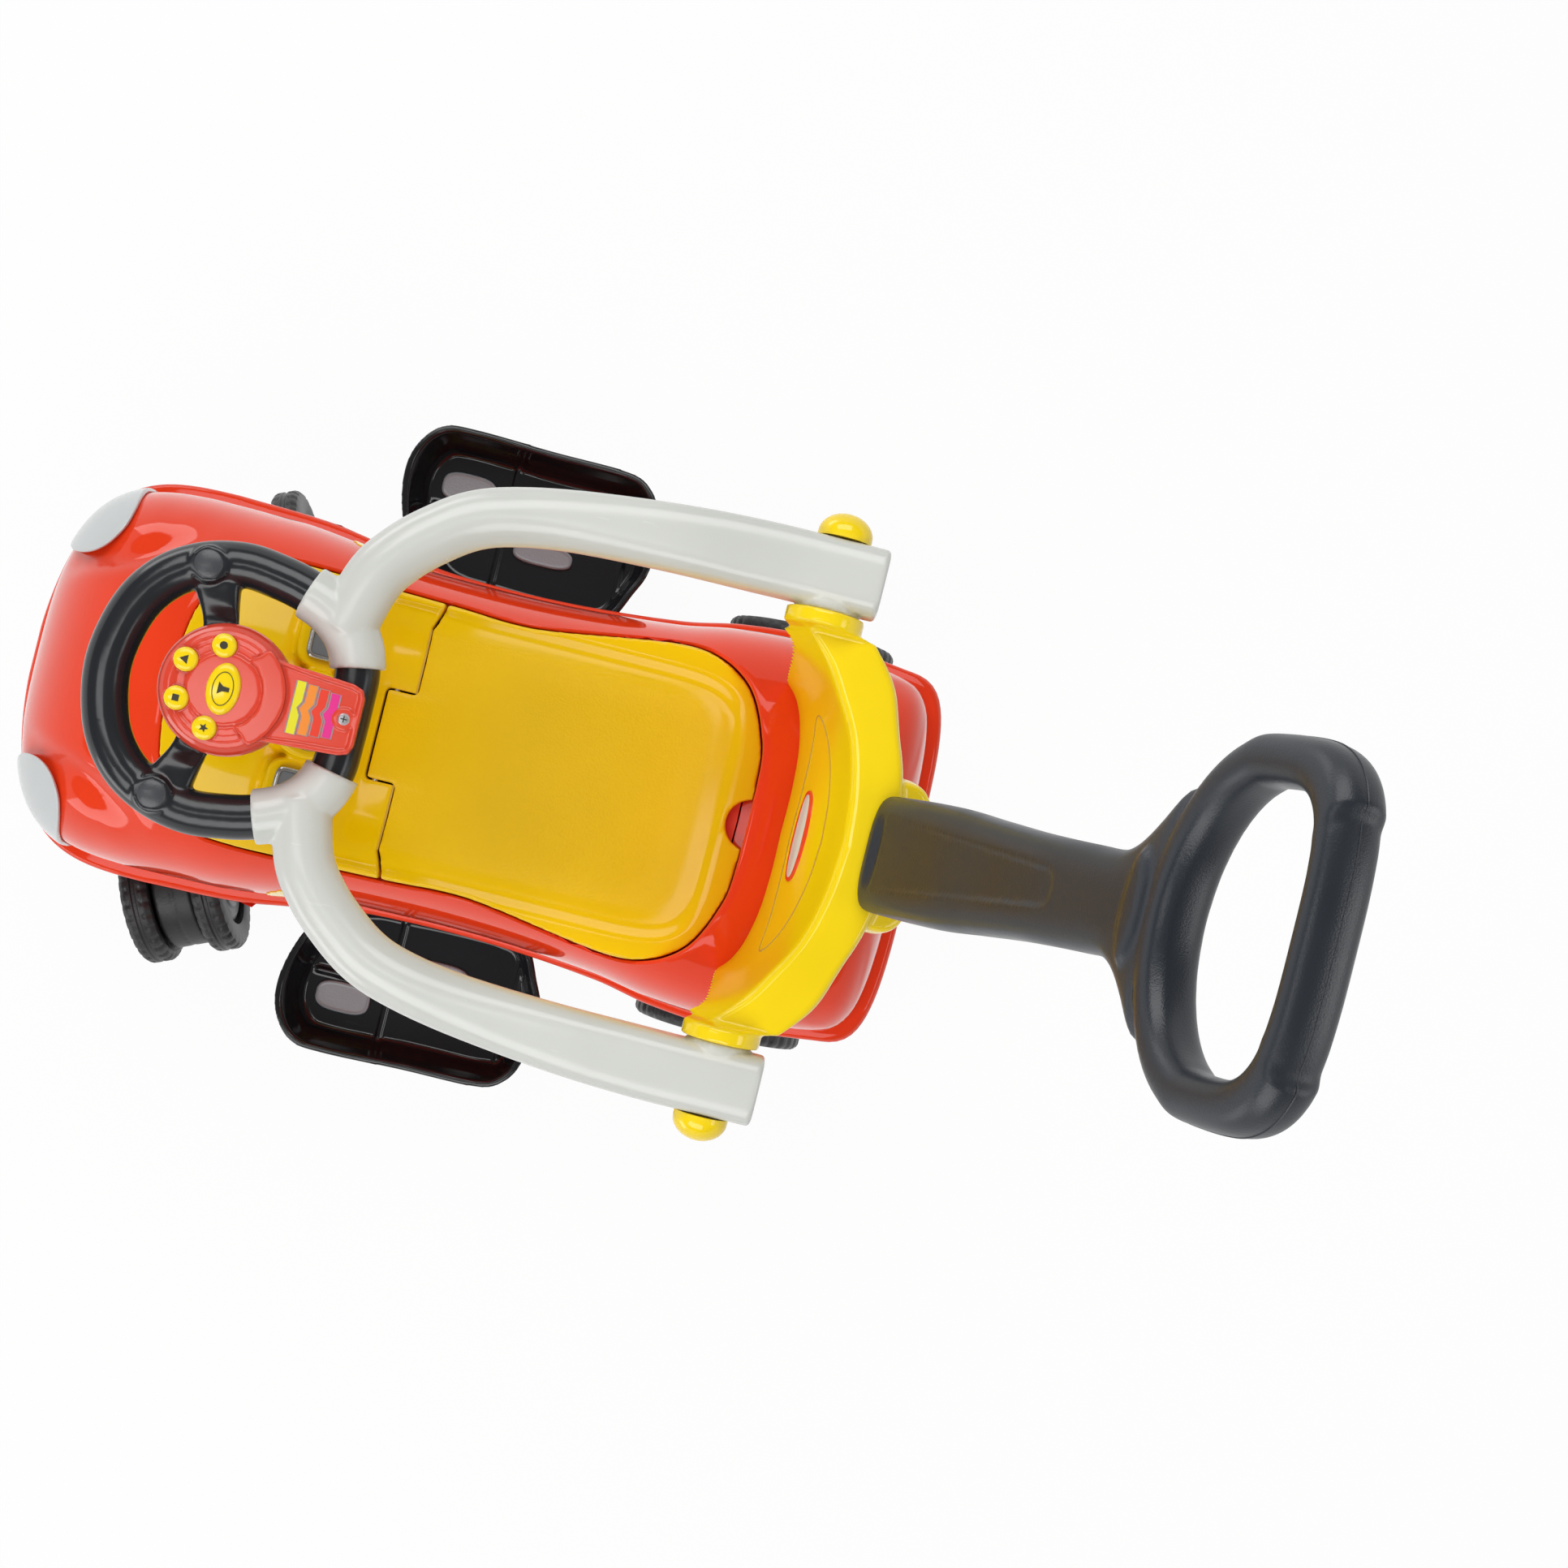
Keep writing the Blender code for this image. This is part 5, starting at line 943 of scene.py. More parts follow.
def make_seat():
    """Yellow lid with its dish, the finger notch at its rear and the hinge tab at its front."""
    under = DECK_HEIGHT + 0.0036
    block = relief(LID_REAR_X - 0.01, LID_FRONT_X + 0.0006, LID_HALF_WIDTH + 0.01, 110, 100, lid_top, under)
    lid = carved(block, seat_mould(), operation="INTERSECT")
    inner, *others = PARTING_STEP
    corner = [(0.01, inner[1]), (-SEAT_CLEARANCE, inner[1]), *others, (0.01, others[-1][1])]
    cutters = [prism([(LID_FRONT_X + x, side * y) for x, y in corner], *THROUGH) for _, side in SIDES]
    notch_x = LID_REAR_X + 0.0015 - NOTCH_RADIUS * 0.25
    cutters.append(rod(NOTCH_RADIUS, *THROUGH, 48, "Z", (notch_x, 0.0, 0.0)))
    lid = carved(lid, *cutters)
    tab = prism(box_outline(LID_FRONT_X - 0.02, HINGE_X + 0.0052, TAB_HALF_WIDTH), under,
                lid_top(LID_FRONT_X, 0.0) + 0.0006)
    seat = fused("seat_skin", [lid, tab], 0.0015, SEAT_YELLOW, "lid", ["seat_lid"], 4)
    paint_grain(seat, lambda x, y: 1.0 - ease((seat_edge(x, y) - 0.66) / 0.08))


def paint_grain(item, share):
    """Store where the pebble grain of a surface lies."""
    mask = item.data.attributes.new("grain", "FLOAT", "POINT")
    mask.data.foreach_set("value", [share(v.co.x - CENTRING, v.co.y) for v in item.data.vertices])


def make_dash():
    """Yellow dash with the pods under the gauge and the windows, and the floor of the parting line."""
    under = DECK_HEIGHT + 0.001
    edge = LID_FRONT_X + PARTING_GAP
    rear = edge - 0.012
    block = relief(rear, PANEL_FRONT_X + 0.01, LID_HALF_WIDTH + 0.01, 90, 100, panel_top, under)
    panel = carved(block, seat_mould(), operation="INTERSECT")
    corner = [(edge + x, y) for x, y in PARTING_STEP]
    corner += [(corner[-1][0], 0.2), (rear - 0.01, 0.2)]
    lid_space = prism([(x, -y) for x, y in reversed(corner)] + corner, *THROUGH)
    pocket_half = TAB_HALF_WIDTH + 0.001
    pocket = prism(box_outline(edge - 0.01, HINGE_X + 0.0066, pocket_half), *THROUGH)
    pod = [(0.0, -0.022), (GAUGE_RADIUS + POD_RIM + 0.001, -0.022), (GAUGE_RADIUS + POD_RIM, -0.002),
           (GAUGE_RADIUS + POD_RIM - 0.002, 0.0), (0.0, 0.0)]
    forms = [carved(panel, lid_space, pocket), moved(turned(pod, 64), pod_matrix(GAUGE_SPOT))]
    outline = rounded(WINDOW_HALF_X + POD_RIM, WINDOW_HALF_Y + POD_RIM, 4.0, 48)
    forms += [moved(prism(outline, -0.02, -0.0004), window_matrix(side)) for _, side in SIDES]
    # The parting line's floor takes the darker seam yellow: painted shade in the gap
    for name, side in SIDES:
        rings = []
        for k in range(13):
            y = mix(pocket_half, 0.0735, k / 12)
            top = lid_top(LID_FRONT_X, y) - 0.0008
            rings.append([(edge - 0.0006, side * y, top - 0.003), (edge + 0.001, side * y, top - 0.003),
                          (edge + 0.001, side * y, top), (edge - 0.0006, side * y, top)])
        piece("parting_floor_" + name, loft(rings), SEAM_SHADE_YELLOW, "car")
    panel = fused("dash_skin", forms, 0.0014, SEAT_YELLOW, "car", ["dash_panel"], 4)
    paint_grain(panel, lambda x, y: 0.0)


def make_gauge():
    """Gauge with its bezel, dial, ticks and pointer."""
    place = pod_matrix(GAUGE_SPOT)
    bezel = [(-0.0048, 0.0006), (-0.0003, 0.0006), (0.0, 0.002), (-0.001, 0.0042), (-0.0028, 0.0044),
             (-0.0045, 0.0022)]
    bezel = [(GAUGE_RADIUS + reach, height) for reach, height in bezel]
    piece("gauge_bezel", moved(turned(bezel, 96), place), SILVER, "car", ["dash_gauge"])
    dial_radius = GAUGE_RADIUS - 0.0042
    face = turned([(0.0, 0.0003), (dial_radius, 0.0003), (dial_radius, 0.0014), (0.0, 0.0018)], 64)
    piece("gauge_face", moved(face, place), WHITE, "car")
    ticks = []
    for k in range(13):
        length = 0.0034 if k % 3 == 0 else 0.002
        outer = 0.0145
        tick = prism([(outer, -0.0004), (outer, 0.0004), (outer - length, 0.0004), (outer - length, -0.0004)],
                     0.0013, 0.0019)
        ticks.append(moved(tick, Matrix.Rotation(math.radians(-120.0 + 20.0 * k), 4, "Z")))
    piece("gauge_ticks", moved(joined(ticks), place), INK_AND_SHADE, "car")
    needle = prism([(-0.003, -0.0009), (0.0115, -0.0003), (0.0115, 0.0003), (-0.003, 0.0009)], 0.0017, 0.0024)
    moved(needle, Matrix.Rotation(math.radians(70.0), 4, "Z"))
    piece("gauge_needle", moved(needle, place), STICKER["red"], "car")


def make_windows():
    """The dash's two side windows: a silver frame round a grey pane."""
    outline = rounded(WINDOW_HALF_X, WINDOW_HALF_Y, 5.0, 64)
    levels = ((0.0, 0.0003), (0.0, 0.0026), (0.0006, 0.0031), (0.0024, 0.0031), (0.0031, 0.0012))
    for name, side in SIDES:
        place = window_matrix(side)
        rings = [[(x, y, z) for x, y in offset_outline(outline, -inset)] for inset, z in levels]
        piece("window_frame_" + name, moved(loft(rings), place), SILVER, "car",
              ["dash_window_" + name])
        pane = prism(offset_outline(outline, -0.0032), 0.0006, 0.0016)
        piece("window_pane_" + name, moved(pane, place), GREY, "car")


def make_wheel_ring():
    """Black steering ring with its spokes, bosses and caps."""
    path = smooth_path([(x, y, 0.0) for x, y in RING_OUTLINE], RING_SPAN_STEPS, closed=True)
    section = rounded(RING_TUBE_RADIUS, RING_TUBE_RADIUS, 2.0, 36)
    place = steering_matrix()
    forms = [sweep(path, lambda i: section, closed=True), rod(HUB_RADIUS - 0.001, -0.003, 0.0032, 72)]
    for name, side in SIDES:
        rings = []
        for k in range(25):
            y = mix(SPOKE_STATIONS[0][0], SPOKE_STATIONS[-1][0], k / 24)
            centre, half, thick = (curve_value(y, [(s[0], s[n]) for s in SPOKE_STATIONS]) for n in (1, 2, 3))
            rings.append([(centre + a, side * y, b) for a, b in rounded(half, thick, 4.0, 40)])
        spot = (CAP_SPOT[0], side * CAP_SPOT[1], 0.0)
        forms += [loft(rings), rod(CAP_RADIUS + 0.0026, 0.0, CAP_TOP - 0.0007, 48, "Z", spot)]
    fused("ring_skin", [moved(form, place) for form in forms], 0.0011, RING_BLACK, "car",
          ["steering_ring"], 7)
    disc = [(0.0, 0.0105), (CAP_RADIUS - 0.0002, 0.0105), (CAP_RADIUS - 0.0002, CAP_TOP - 0.0005),
            (CAP_RADIUS - 0.0008, CAP_TOP), (0.0, CAP_TOP + 0.0001)]
    for name, side in SIDES:
        cap = turned(disc, 64, "Z", (CAP_SPOT[0], side * CAP_SPOT[1], 0.0))
        piece("ring_disc_" + name, moved(cap, place), CAP_GREY, "car", ["ring_cap_" + name])


def inlay(name, outline, low, high, place, finish, body):
    """A thin flat motif that stands a little over its surface."""
    return piece(name, moved(prism(outline, low, high), place), finish, body)


# Middle of each round button in the ring's plane
BUTTON_SPOTS = {"button_front_left": (0.0235, 0.011), "button_front_right": (0.0235, -0.011),
                "button_side_left": (0.005, 0.0235), "button_side_right": (0.005, -0.0235)}


def make_hub():
    """Red housing with its raised platforms, the arm over the ring's bar and the screw that holds it."""
    place = steering_matrix()
    profile = [(0.0, 0.0035), (HUB_RADIUS - 0.0015, 0.0035), (HUB_RADIUS, 0.0075), (HUB_RADIUS, 0.016),
               (HUB_RADIUS - 0.0006, 0.0195), (HUB_RADIUS - 0.0022, 0.0232), (HUB_RADIUS - 0.0048, 0.026),
               (HUB_RADIUS - 0.0078, HUB_TOP + 0.0002), (HUB_RADIUS - 0.0098, HUB_TOP - 0.0004),
               (HUB_RADIUS - 0.0108, HUB_TOP - 0.0012), (0.0, HUB_TOP - 0.0012)]
    platform = [(0.0, 0.02), (0.0208, 0.02), (0.0208, HUB_TOP - 0.0004), (0.0198, HUB_TOP + 0.0004),
                (0.0, HUB_TOP + 0.0004)]
    crescent = ([polar(HUB_RADIUS - 0.0035, a) for a in range(126, 235, 4)]
                + [polar(0.0215, a) for a in range(240, 119, -4)])
    half_arm = [(x, TONGUE_HALF_WIDTH + more) for x, more in (
        (-0.018, 0.002), (-0.045, 0.0005), (ARM_END_X + 0.008, -0.001), (ARM_END_X + 0.0025, -0.003),
        (ARM_END_X + 0.0004, -0.008))]
    outline = half_arm + [(x, -y) for x, y in reversed(half_arm)]
    tray = prism(offset_outline(outline, -0.0028), HUB_TOP - 0.0016, 0.05)
    forms = [turned(profile, 120), turned(platform, 96), prism(crescent, 0.02, HUB_TOP + 0.0024),
             carved(prism(outline, RING_TUBE_RADIUS + 0.0003, HUB_TOP - 0.0002), tray),
             rod(0.0062, 0.016, HUB_TOP - 0.0004, 48, "Z", (BAR_X, 0.0, 0.0))]
    fused("hub_skin", [moved(form, place) for form in forms], 0.0007, HUB_RED, "car",
          ["hub_cover"], 3)
    screw = [(0.0, HUB_TOP - 0.0012), (0.0034, HUB_TOP - 0.0012), (0.0034, HUB_TOP - 0.0002),
             (0.0026, HUB_TOP + 0.0006), (0.0, HUB_TOP + 0.0008)]
    piece("screw_head", moved(turned(screw, 40, "Z", (BAR_X, 0.0, 0.0)), place), STEEL, "car")
    # The screw's slots are dark inlays standing over its head: painted shade of the slots
    for k, slit in enumerate((rounded(0.00035, 0.0019, 6.0, 16), rounded(0.0019, 0.00035, 6.0, 16))):
        inlay("screw_slot_%d" % k, [(BAR_X + x, y) for x, y in slit], HUB_TOP + 0.0003, HUB_TOP + 0.00092,
              place, INK_AND_SHADE, "car")


def make_bars():
    """Plain colour bars with a zigzag edge on the hub's arm, each over a grey rim."""
    place = steering_matrix()
    colours = ("yellow", "orange", "red", "magenta")
    for k, colour in enumerate(colours):
        middle = -0.0405 - 0.0066 * k
        low, high = middle - 0.0024, middle + 0.0024
        half = 0.015 - 0.0008 * k
        bar = [(low, -half), (high, -half)]
        if k > 0:
            bar += [(high, -0.004), (middle + 0.0046, 0.0), (high, 0.004)]
        bar += [(high, half), (low, half)]
        if k < len(colours) - 1:
            bar += [(low, 0.004), (middle - 0.0002, 0.0), (low, -0.004)]
        inlay("bar_rim_" + colour, offset_outline(bar, 0.0007), HUB_TOP - 0.002, HUB_TOP - 0.00135, place,
              STICKER["grey"], "car")
        inlay("bar_" + colour, bar, HUB_TOP - 0.0019, HUB_TOP - 0.00125, place,
              STICKER[colour], "car")


def make_buttons():
    """Four domed round buttons in fine collars, and the oval horn."""
    place = steering_matrix()
    dome = ((1.0, 0.0185), (1.0, HUB_TOP + 0.0012), (0.93, HUB_TOP + 0.0024), (0.78, HUB_TOP + 0.003),
            (0.5, HUB_TOP + 0.0034), (0.0, HUB_TOP + 0.0036))
    profile = [(0.0, 0.0185)] + [(BUTTON_RADIUS * share, z) for share, z in dome]
    collar = [(BUTTON_RADIUS + 0.0002, HUB_TOP - 0.0014), (BUTTON_RADIUS + 0.0012, HUB_TOP - 0.0014),
              (BUTTON_RADIUS + 0.001, HUB_TOP - 0.0005), (BUTTON_RADIUS + 0.0004, HUB_TOP - 0.0005)]
    for name, spot in BUTTON_SPOTS.items():
        button, ring = (moved(turned(form, 64, "Z", (*spot, 0.0)), place) for form in (profile, collar))
        piece(name + "_skin", button, YELLOW, name, [name])
        piece(name + "_collar", ring, HUB_RED, "car")
    oval = rounded(HORN_HALF_WIDTH, HORN_HALF_LENGTH, 2.0, 72)
    rings = [[(x * max(share, 0.1), y * max(share, 0.1), z) for x, y in oval] for share, z in dome]
    piece("horn_skin", moved(loft(rings), place), YELLOW, "horn_button", ["horn_button"])


def make_icons():
    """Plain signs: a square, a triangle, a star and a disc on the buttons, an edged bell on the horn."""
    place = steering_matrix()
    low, high = HUB_TOP + 0.0028, HUB_TOP + 0.0037
    signs = {"button_front_left": [polar(0.0026, 90 * k + 45) for k in range(4)],
             "button_front_right": [polar(0.003, 120 * k) for k in range(3)],
             "button_side_left": [polar(0.0027 if k % 2 else 0.0012, 36 * k) for k in range(10)],
             "button_side_right": [polar(0.0022, 15 * k) for k in range(24)]}
    for name, outline in signs.items():
        x, y = BUTTON_SPOTS[name]
        inlay(name + "_sign", [(x + a, y + b) for a, b in outline], low, high, place, INK_AND_SHADE, name)
    bell = [(-0.0036, -0.0012), (-0.0036, 0.0012), (0.0, 0.0014), (0.0026, 0.0034), (0.0026, -0.0034),
            (0.0, -0.0014)]
    inlay("horn_sign", bell, low, HUB_TOP + 0.0039, place, INK_AND_SHADE, "horn_button")
    rim = rounded(0.0058, 0.0096, 2.0, 72)
    inner = rounded(0.0054, 0.0092, 2.0, 72)
    foot, top = low - 0.0004, HUB_TOP + 0.0036
    corners = ((rim, foot), (rim, top), (inner, top), (inner, foot))
    line = loft([[(x, y, z) for x, y in ring] for ring, z in corners], closed=True)
    piece("horn_line", moved(line, place), INK_AND_SHADE, "horn_button")


def make_under_hub():
    """Black shell under the ring, and the column down to the deck."""
    place = steering_matrix()
    low = -0.034
    profile = [(0.0, -0.0033), (HUB_RADIUS - 0.0035, -0.0033), (HUB_RADIUS - 0.005, -0.014),
               (HUB_RADIUS - 0.0085, -0.022), (HUB_RADIUS - 0.012, -0.028), (HUB_RADIUS - 0.016, low),
               (0.0, low)]
    piece("hub_base_skin", moved(turned(profile, 96), place), BLACK, "car",
          ["hub_base", "speaker"])
    reach = (HUB_Z - DECK_HEIGHT - 0.0006 - COLUMN_RADIUS * math.sin(WHEEL_TILT)) / math.cos(WHEEL_TILT)
    piece("column_skin", moved(rod(COLUMN_RADIUS, -reach, low - 0.0003, 64), place), BLACK, "car",
          ["steering_column"])


def make_rail(name, side):
    """White guard rail: a tube that grows squarer towards the backrest, and its sleeve on the ring."""
    lift = steering_matrix()
    ring = smooth_path([(x, side * y, 0.0) for x, y in RING_OUTLINE], RING_SPAN_STEPS, closed=True)
    sleeve = [lift @ Vector(p) for p in ring[SLEEVE_PATH]]
    up = lift.to_3x3() @ Vector((0.0, 0.0, 1.0))
    route = [tuple(lift @ Vector((SLEEVE_CORNER[0] + 0.006, side * (SLEEVE_CORNER[1] + 0.004), 0.0)))]
    route += [(x, side * y, z) for x, y, z in (
        (0.104, 0.082, 0.3965), (0.092, 0.1, 0.396), (0.077, 0.1145, 0.395), (0.058, 0.128, 0.394),
        (0.036, 0.136, 0.393), (0.0, 0.1425, 0.391), (-0.058, RAIL_Y - 0.002, 0.388))]
    route += [(x, side * RAIL_Y, COLLAR_Z) for x in (-0.113, COLLAR_X, COLLAR_X - 0.023, COLLAR_X - 0.0285)]
    points = smooth_path(route, 8)

    def section(i):
        t = ease((0.05 - points[i][0]) / 0.17)
        left = len(points) - 1 - i
        end = 1.0 - 0.16 * (1.0 - left / 8.0) ** 3 if left < 8 else 1.0
        return rounded(mix(RAIL_RADIUS, 0.0202, t) * end, mix(RAIL_RADIUS, 0.0215, t) * end,
                       mix(2.0, 4.0, t), 48)

    disc = rod(0.019, COLLAR_END_Y + 0.0003, RAIL_Y, 64, "Y", (COLLAR_X, 0.0, COLLAR_Z))
    tube = rounded(RING_TUBE_RADIUS + 0.0031, RING_TUBE_RADIUS + 0.0031, 2.0, 40)
    forms = [sweep(points, section), sweep(sleeve, lambda i: tube, up), flipped(disc, side)]
    fused(name + "_skin", forms, 0.0012, WHITE, "car", [name], 4)


def make_knob(name, side):
    """Yellow domed knob on the outside of a rail."""
    outer = RAIL_Y + 0.0205
    profile = [(0.0, outer), (KNOB_RADIUS, outer), (KNOB_RADIUS, outer + 0.003)]
    profile += [(KNOB_RADIUS * math.cos(t), outer + 0.003 + 0.0125 * math.sin(t))
                for t in (math.radians(6.0 * k) for k in range(1, 15))]
    profile.append((0.0, outer + 0.0155))
    knob = flipped(turned(profile, 72, "Y", (COLLAR_X, 0.0, COLLAR_Z)), side)
    piece(name + "_skin", knob, YELLOW, "car", [name])


def make_backrest():
    """Yellow backrest with a collar at each end, and the socket of the push handle."""
    wing = [0.1125 + 0.0005 * k for k in range(18)]
    collar = [mix(wing[-1], COLLAR_END_Y, k / 8) for k in range(1, 9)]
    half = [wing[0] * k / 40 for k in range(40)] + wing + collar
    stations = [-y for y in reversed(half[1:])] + half
    back = loft([[(x, y, z) for x, z in backrest_section(y)] for y in stations])
    low = [(-0.206, 0.235, 0.024, SOCKET_HALF_WIDTH - 0.004), (-0.214, 0.31, 0.027, SOCKET_HALF_WIDTH),
           (-0.217, 0.355, 0.026, SOCKET_HALF_WIDTH)]
    rings = [[(x + b, a, z) for a, b in rounded(width, depth, 3.0, 48)] for x, z, depth, width in low]
    for inset, drop in ((0.0, 0.012), (0.002, 0.003), (0.004, 0.0012)):
        rings.append([handle_point(a, -drop, b - 0.006)
                      for a, b in rounded(SOCKET_HALF_WIDTH - inset, 0.024 - inset, 3.0, 48)])
    fused("backrest_skin", [back, loft(rings)], 0.0012, YELLOW, "car", ["backrest"], 3)


def make_badge():
    """Plain oval plate in a fine lens-shaped border on the backrest's front, with no lettering."""
    centre = 0.307
    for name, half_y, half_z, proud, finish, slot in (
            ("badge_rim", 0.0285, 0.013, 0.0011, STICKER["red"], "red_gloss"),
            ("badge_face", 0.0262, 0.0088, 0.0014, WHITE, "off_white")):
        rings = []
        for depth, inset in ((-0.0015, 0.0), (proud - 0.0003, 0.0), (proud, 0.0004)):
            rings.append([(backrest_front(a, centre + b) + depth, a, centre + b)
                          for a, b in rounded(half_y - inset, half_z - inset, 2.4, 64)])
        piece(name, loft(rings), finish, "car")
    line = []
    for turn in circle_turns(160):
        y, z = 0.0735 * math.cos(turn), centre + 0.012 + 0.033 * math.sin(turn)
        line.append((backrest_front(y, z) + 0.0003, y, z))
    # The border bead takes the darker seam yellow: painted shade along the line
    bead = rounded(0.00045, 0.00035, 2.0, 8)
    piece("badge_border", sweep(line, lambda i: bead, (1.0, 0.0, 0.26), closed=True), SEAM_SHADE_YELLOW, "car")


def backrest_front(y, z):
    """Where the backrest's front face lies at a height."""
    ring = backrest_section(y)
    best = None
    for i in range(len(ring)):
        a, b = ring[i], ring[(i + 1) % len(ring)]
        if (a[1] - z) * (b[1] - z) <= 0.0 and abs(a[1] - b[1]) > 1e-9:
            x = mix(a[0], b[0], (z - a[1]) / (b[1] - a[1]))
            best = x if best is None else max(best, x)
    return best if best is not None else ring[0][0]


def grip_point(turn, inset=0.0):
    """Outside of the grip loop, with a long recess for the fingers in its far bar."""
    x, y = loop_point(turn, LOOP_HALF_WIDTH - inset, LOOP_OPENING_HALF_LENGTH + LOOP_BAR - inset)
    return (x, y - 0.0038 * (1.0 - ease((abs(x) - 0.051) / 0.007)) if y > 0.0 else y)


def handle_neck():
    """Neck of the push handle, with a sunk panel and a groove over its foot."""
    low, high = NECK_BASE_HALF_WIDTH, NECK_HALF_WIDTH
    widths = [(0.0, low - 0.0045), (0.002, low - 0.0015), (0.006, low), (0.09, low - 0.0007),
              (0.14, mix(low, high, 0.45)), (0.19, mix(low, high, 0.8))]
    widths += [(LOOP_FOOT + along, high + more) for along, more in (
        (-0.06, 0.0), (-0.031, 0.0), (-0.019, 0.0045), (-0.01, 0.0115), (0.0, 0.022), (0.008, 0.031),
        (0.016, 0.033))]
    rings = []
    for k in range(91):
        along = mix(0.0, LOOP_FOOT + 0.016, (k / 90) ** 1.15)
        thick = (HANDLE_HALF_THICKNESS - 0.0035 * (1.0 - ease(along / 0.006))
                 - 0.004 * ease((along - LOOP_FOOT - 0.006) / 0.01))
        section = rounded(curve_value(along, widths), thick, 3.4, 56)
        rings.append([handle_point(a, along, b) for a, b in section])
    panel = []
    for k in range(49):
        turn = math.pi * k / 48
        panel.append((0.0095 * math.cos(turn), 0.215 + 0.0095 * math.sin(turn)))
    panel += [(-0.0215, 0.016), (-0.0195, 0.012), (0.0195, 0.012), (0.0215, 0.016)]
    sunk = loft([[handle_point(a, along, HANDLE_HALF_THICKNESS + rise) for a, along in panel]
                 for rise in (-0.0016, 0.01)])
    groove = handle_mound(0.0175, 2.5, 40, ((0.0205, 0.0008, -0.004), (0.0205, 0.0022, -0.0014),
                                            (0.0205, 0.004, 0.004)))
    return carved(loft(rings), sunk, groove)


def handle_mound(middle, power, count, levels):
    """Low form on the handle's front, from (half width, half length, rise) levels."""
    return loft([[handle_point(a, middle + b, HANDLE_HALF_THICKNESS + rise)
                  for a, b in rounded(width, length, power, count)] for width, length, rise in levels])


def make_handle():
    """Blow-moulded push handle: the neck, the grip loop and a thumb ridge between them."""
    rings = []
    for turn in circle_turns(180):
        inner = loop_point(turn, LOOP_OPENING_HALF_WIDTH, LOOP_OPENING_HALF_LENGTH)
        outer = grip_point(turn)
        ring = []
        for share, forward in rounded(0.5, HANDLE_HALF_THICKNESS, 2.5, 36):
            across, along = (mix(inner[n], outer[n], 0.5 + share) for n in (0, 1))
            ring.append(handle_point(across, LOOP_CENTRE + along, forward))
        rings.append(ring)
    ridge = handle_mound(LOOP_FOOT - 0.004, 2.0, 48, ((0.027, 0.01, -0.006), (0.0265, 0.0095, 0.0),
                                                      (0.024, 0.0075, 0.0016), (0.019, 0.004, 0.0024)))
    forms = [handle_neck(), loft(rings, closed=True), ridge]
    fused("handle_skin", forms, 0.0014, CHARCOAL, "car", ["push_handle"], 5)


def make_handle_seam():
    """Fine mould seam round the grip loop, open where the neck comes in."""
    turns = sorted(turn if turn > math.radians(300.0) else turn + 2.0 * math.pi for turn in circle_turns(160)
                   if not math.radians(232.0) <= turn <= math.radians(308.0))
    line = []
    for turn in turns:
        across, along = grip_point(turn, 0.0001)
        line.append(handle_point(across, LOOP_CENTRE + along, 0.0))
    bead = rounded(0.0005, 0.0005, 2.0, 8)
    piece("handle_seam", sweep(line, lambda i: bead, tuple(HANDLE_FRONT)), CHARCOAL, "car")


def make_tray(side_name, side):
    """Footrest dish with ribs across its floor and its two pads."""
    name = "foot_tray_" + side_name
    outline = smooth_path(TRAY_OUTLINE, 8, closed=True)
    floor, rim = TRAY_FLOOR_HEIGHT, TRAY_RIM_HEIGHT
    levels = ((0.013, floor - 0.004), (0.009, floor - 0.002), (0.004, floor + 0.01), (0.0, rim - 0.0005),
              (0.0006, rim), (TRAY_WALL - 0.0006, rim), (TRAY_WALL, rim - 0.0006),
              (TRAY_WALL + 0.004, floor + 0.012), (TRAY_WALL + 0.006, floor + 0.006),
              (TRAY_WALL + 0.01, floor))
    dish = loft([[(x, side * y, z) for x, y in offset_outline(outline, -inset)] for inset, z in levels])
    forms = [carved(dish, flange_solid(0.0003))]
    for start, end in (((0.004, 0.134), (0.006, 0.214)), ((0.094, 0.128), (0.094, 0.218)),
                       ((0.03, 0.176), (0.15, 0.176))):
        start, end = Vector((*start, 0.0)), Vector((*end, 0.0))
        along = (end - start).normalized() * 0.0013
        across = Vector((-along.y, along.x, 0.0))
        rib = [(p.x, side * p.y) for p in (start + across, end + across, end - across, start - across)]
        forms.append(prism(rib, floor - 0.002, floor + 0.0022))
    fused(name + "_skin", forms, 0.0014, BLACK, "car", [name], 4)
    low = floor + 0.0004
    for spot, (x, y, half_x, half_y) in PAD_SPOTS.items():
        ring = [(x + a, side * y + b) for a, b in rounded(half_x, half_y, 3.0, 56)]
        pad = loft([[(p, q, low + rise) for p, q in offset_outline(ring, -inset)] for inset, rise in
                    ((0.0, 0.0), (0.0, 0.002), (0.0005, 0.0026), (0.0014, 0.0029), (0.0024, 0.0024),
                     (0.003, 0.0024))])
        pad_name = "%s_%s" % (spot, side_name)
        piece("pad_" + pad_name, pad, PAD_GREY, "car", ["foot_pad_" + pad_name])


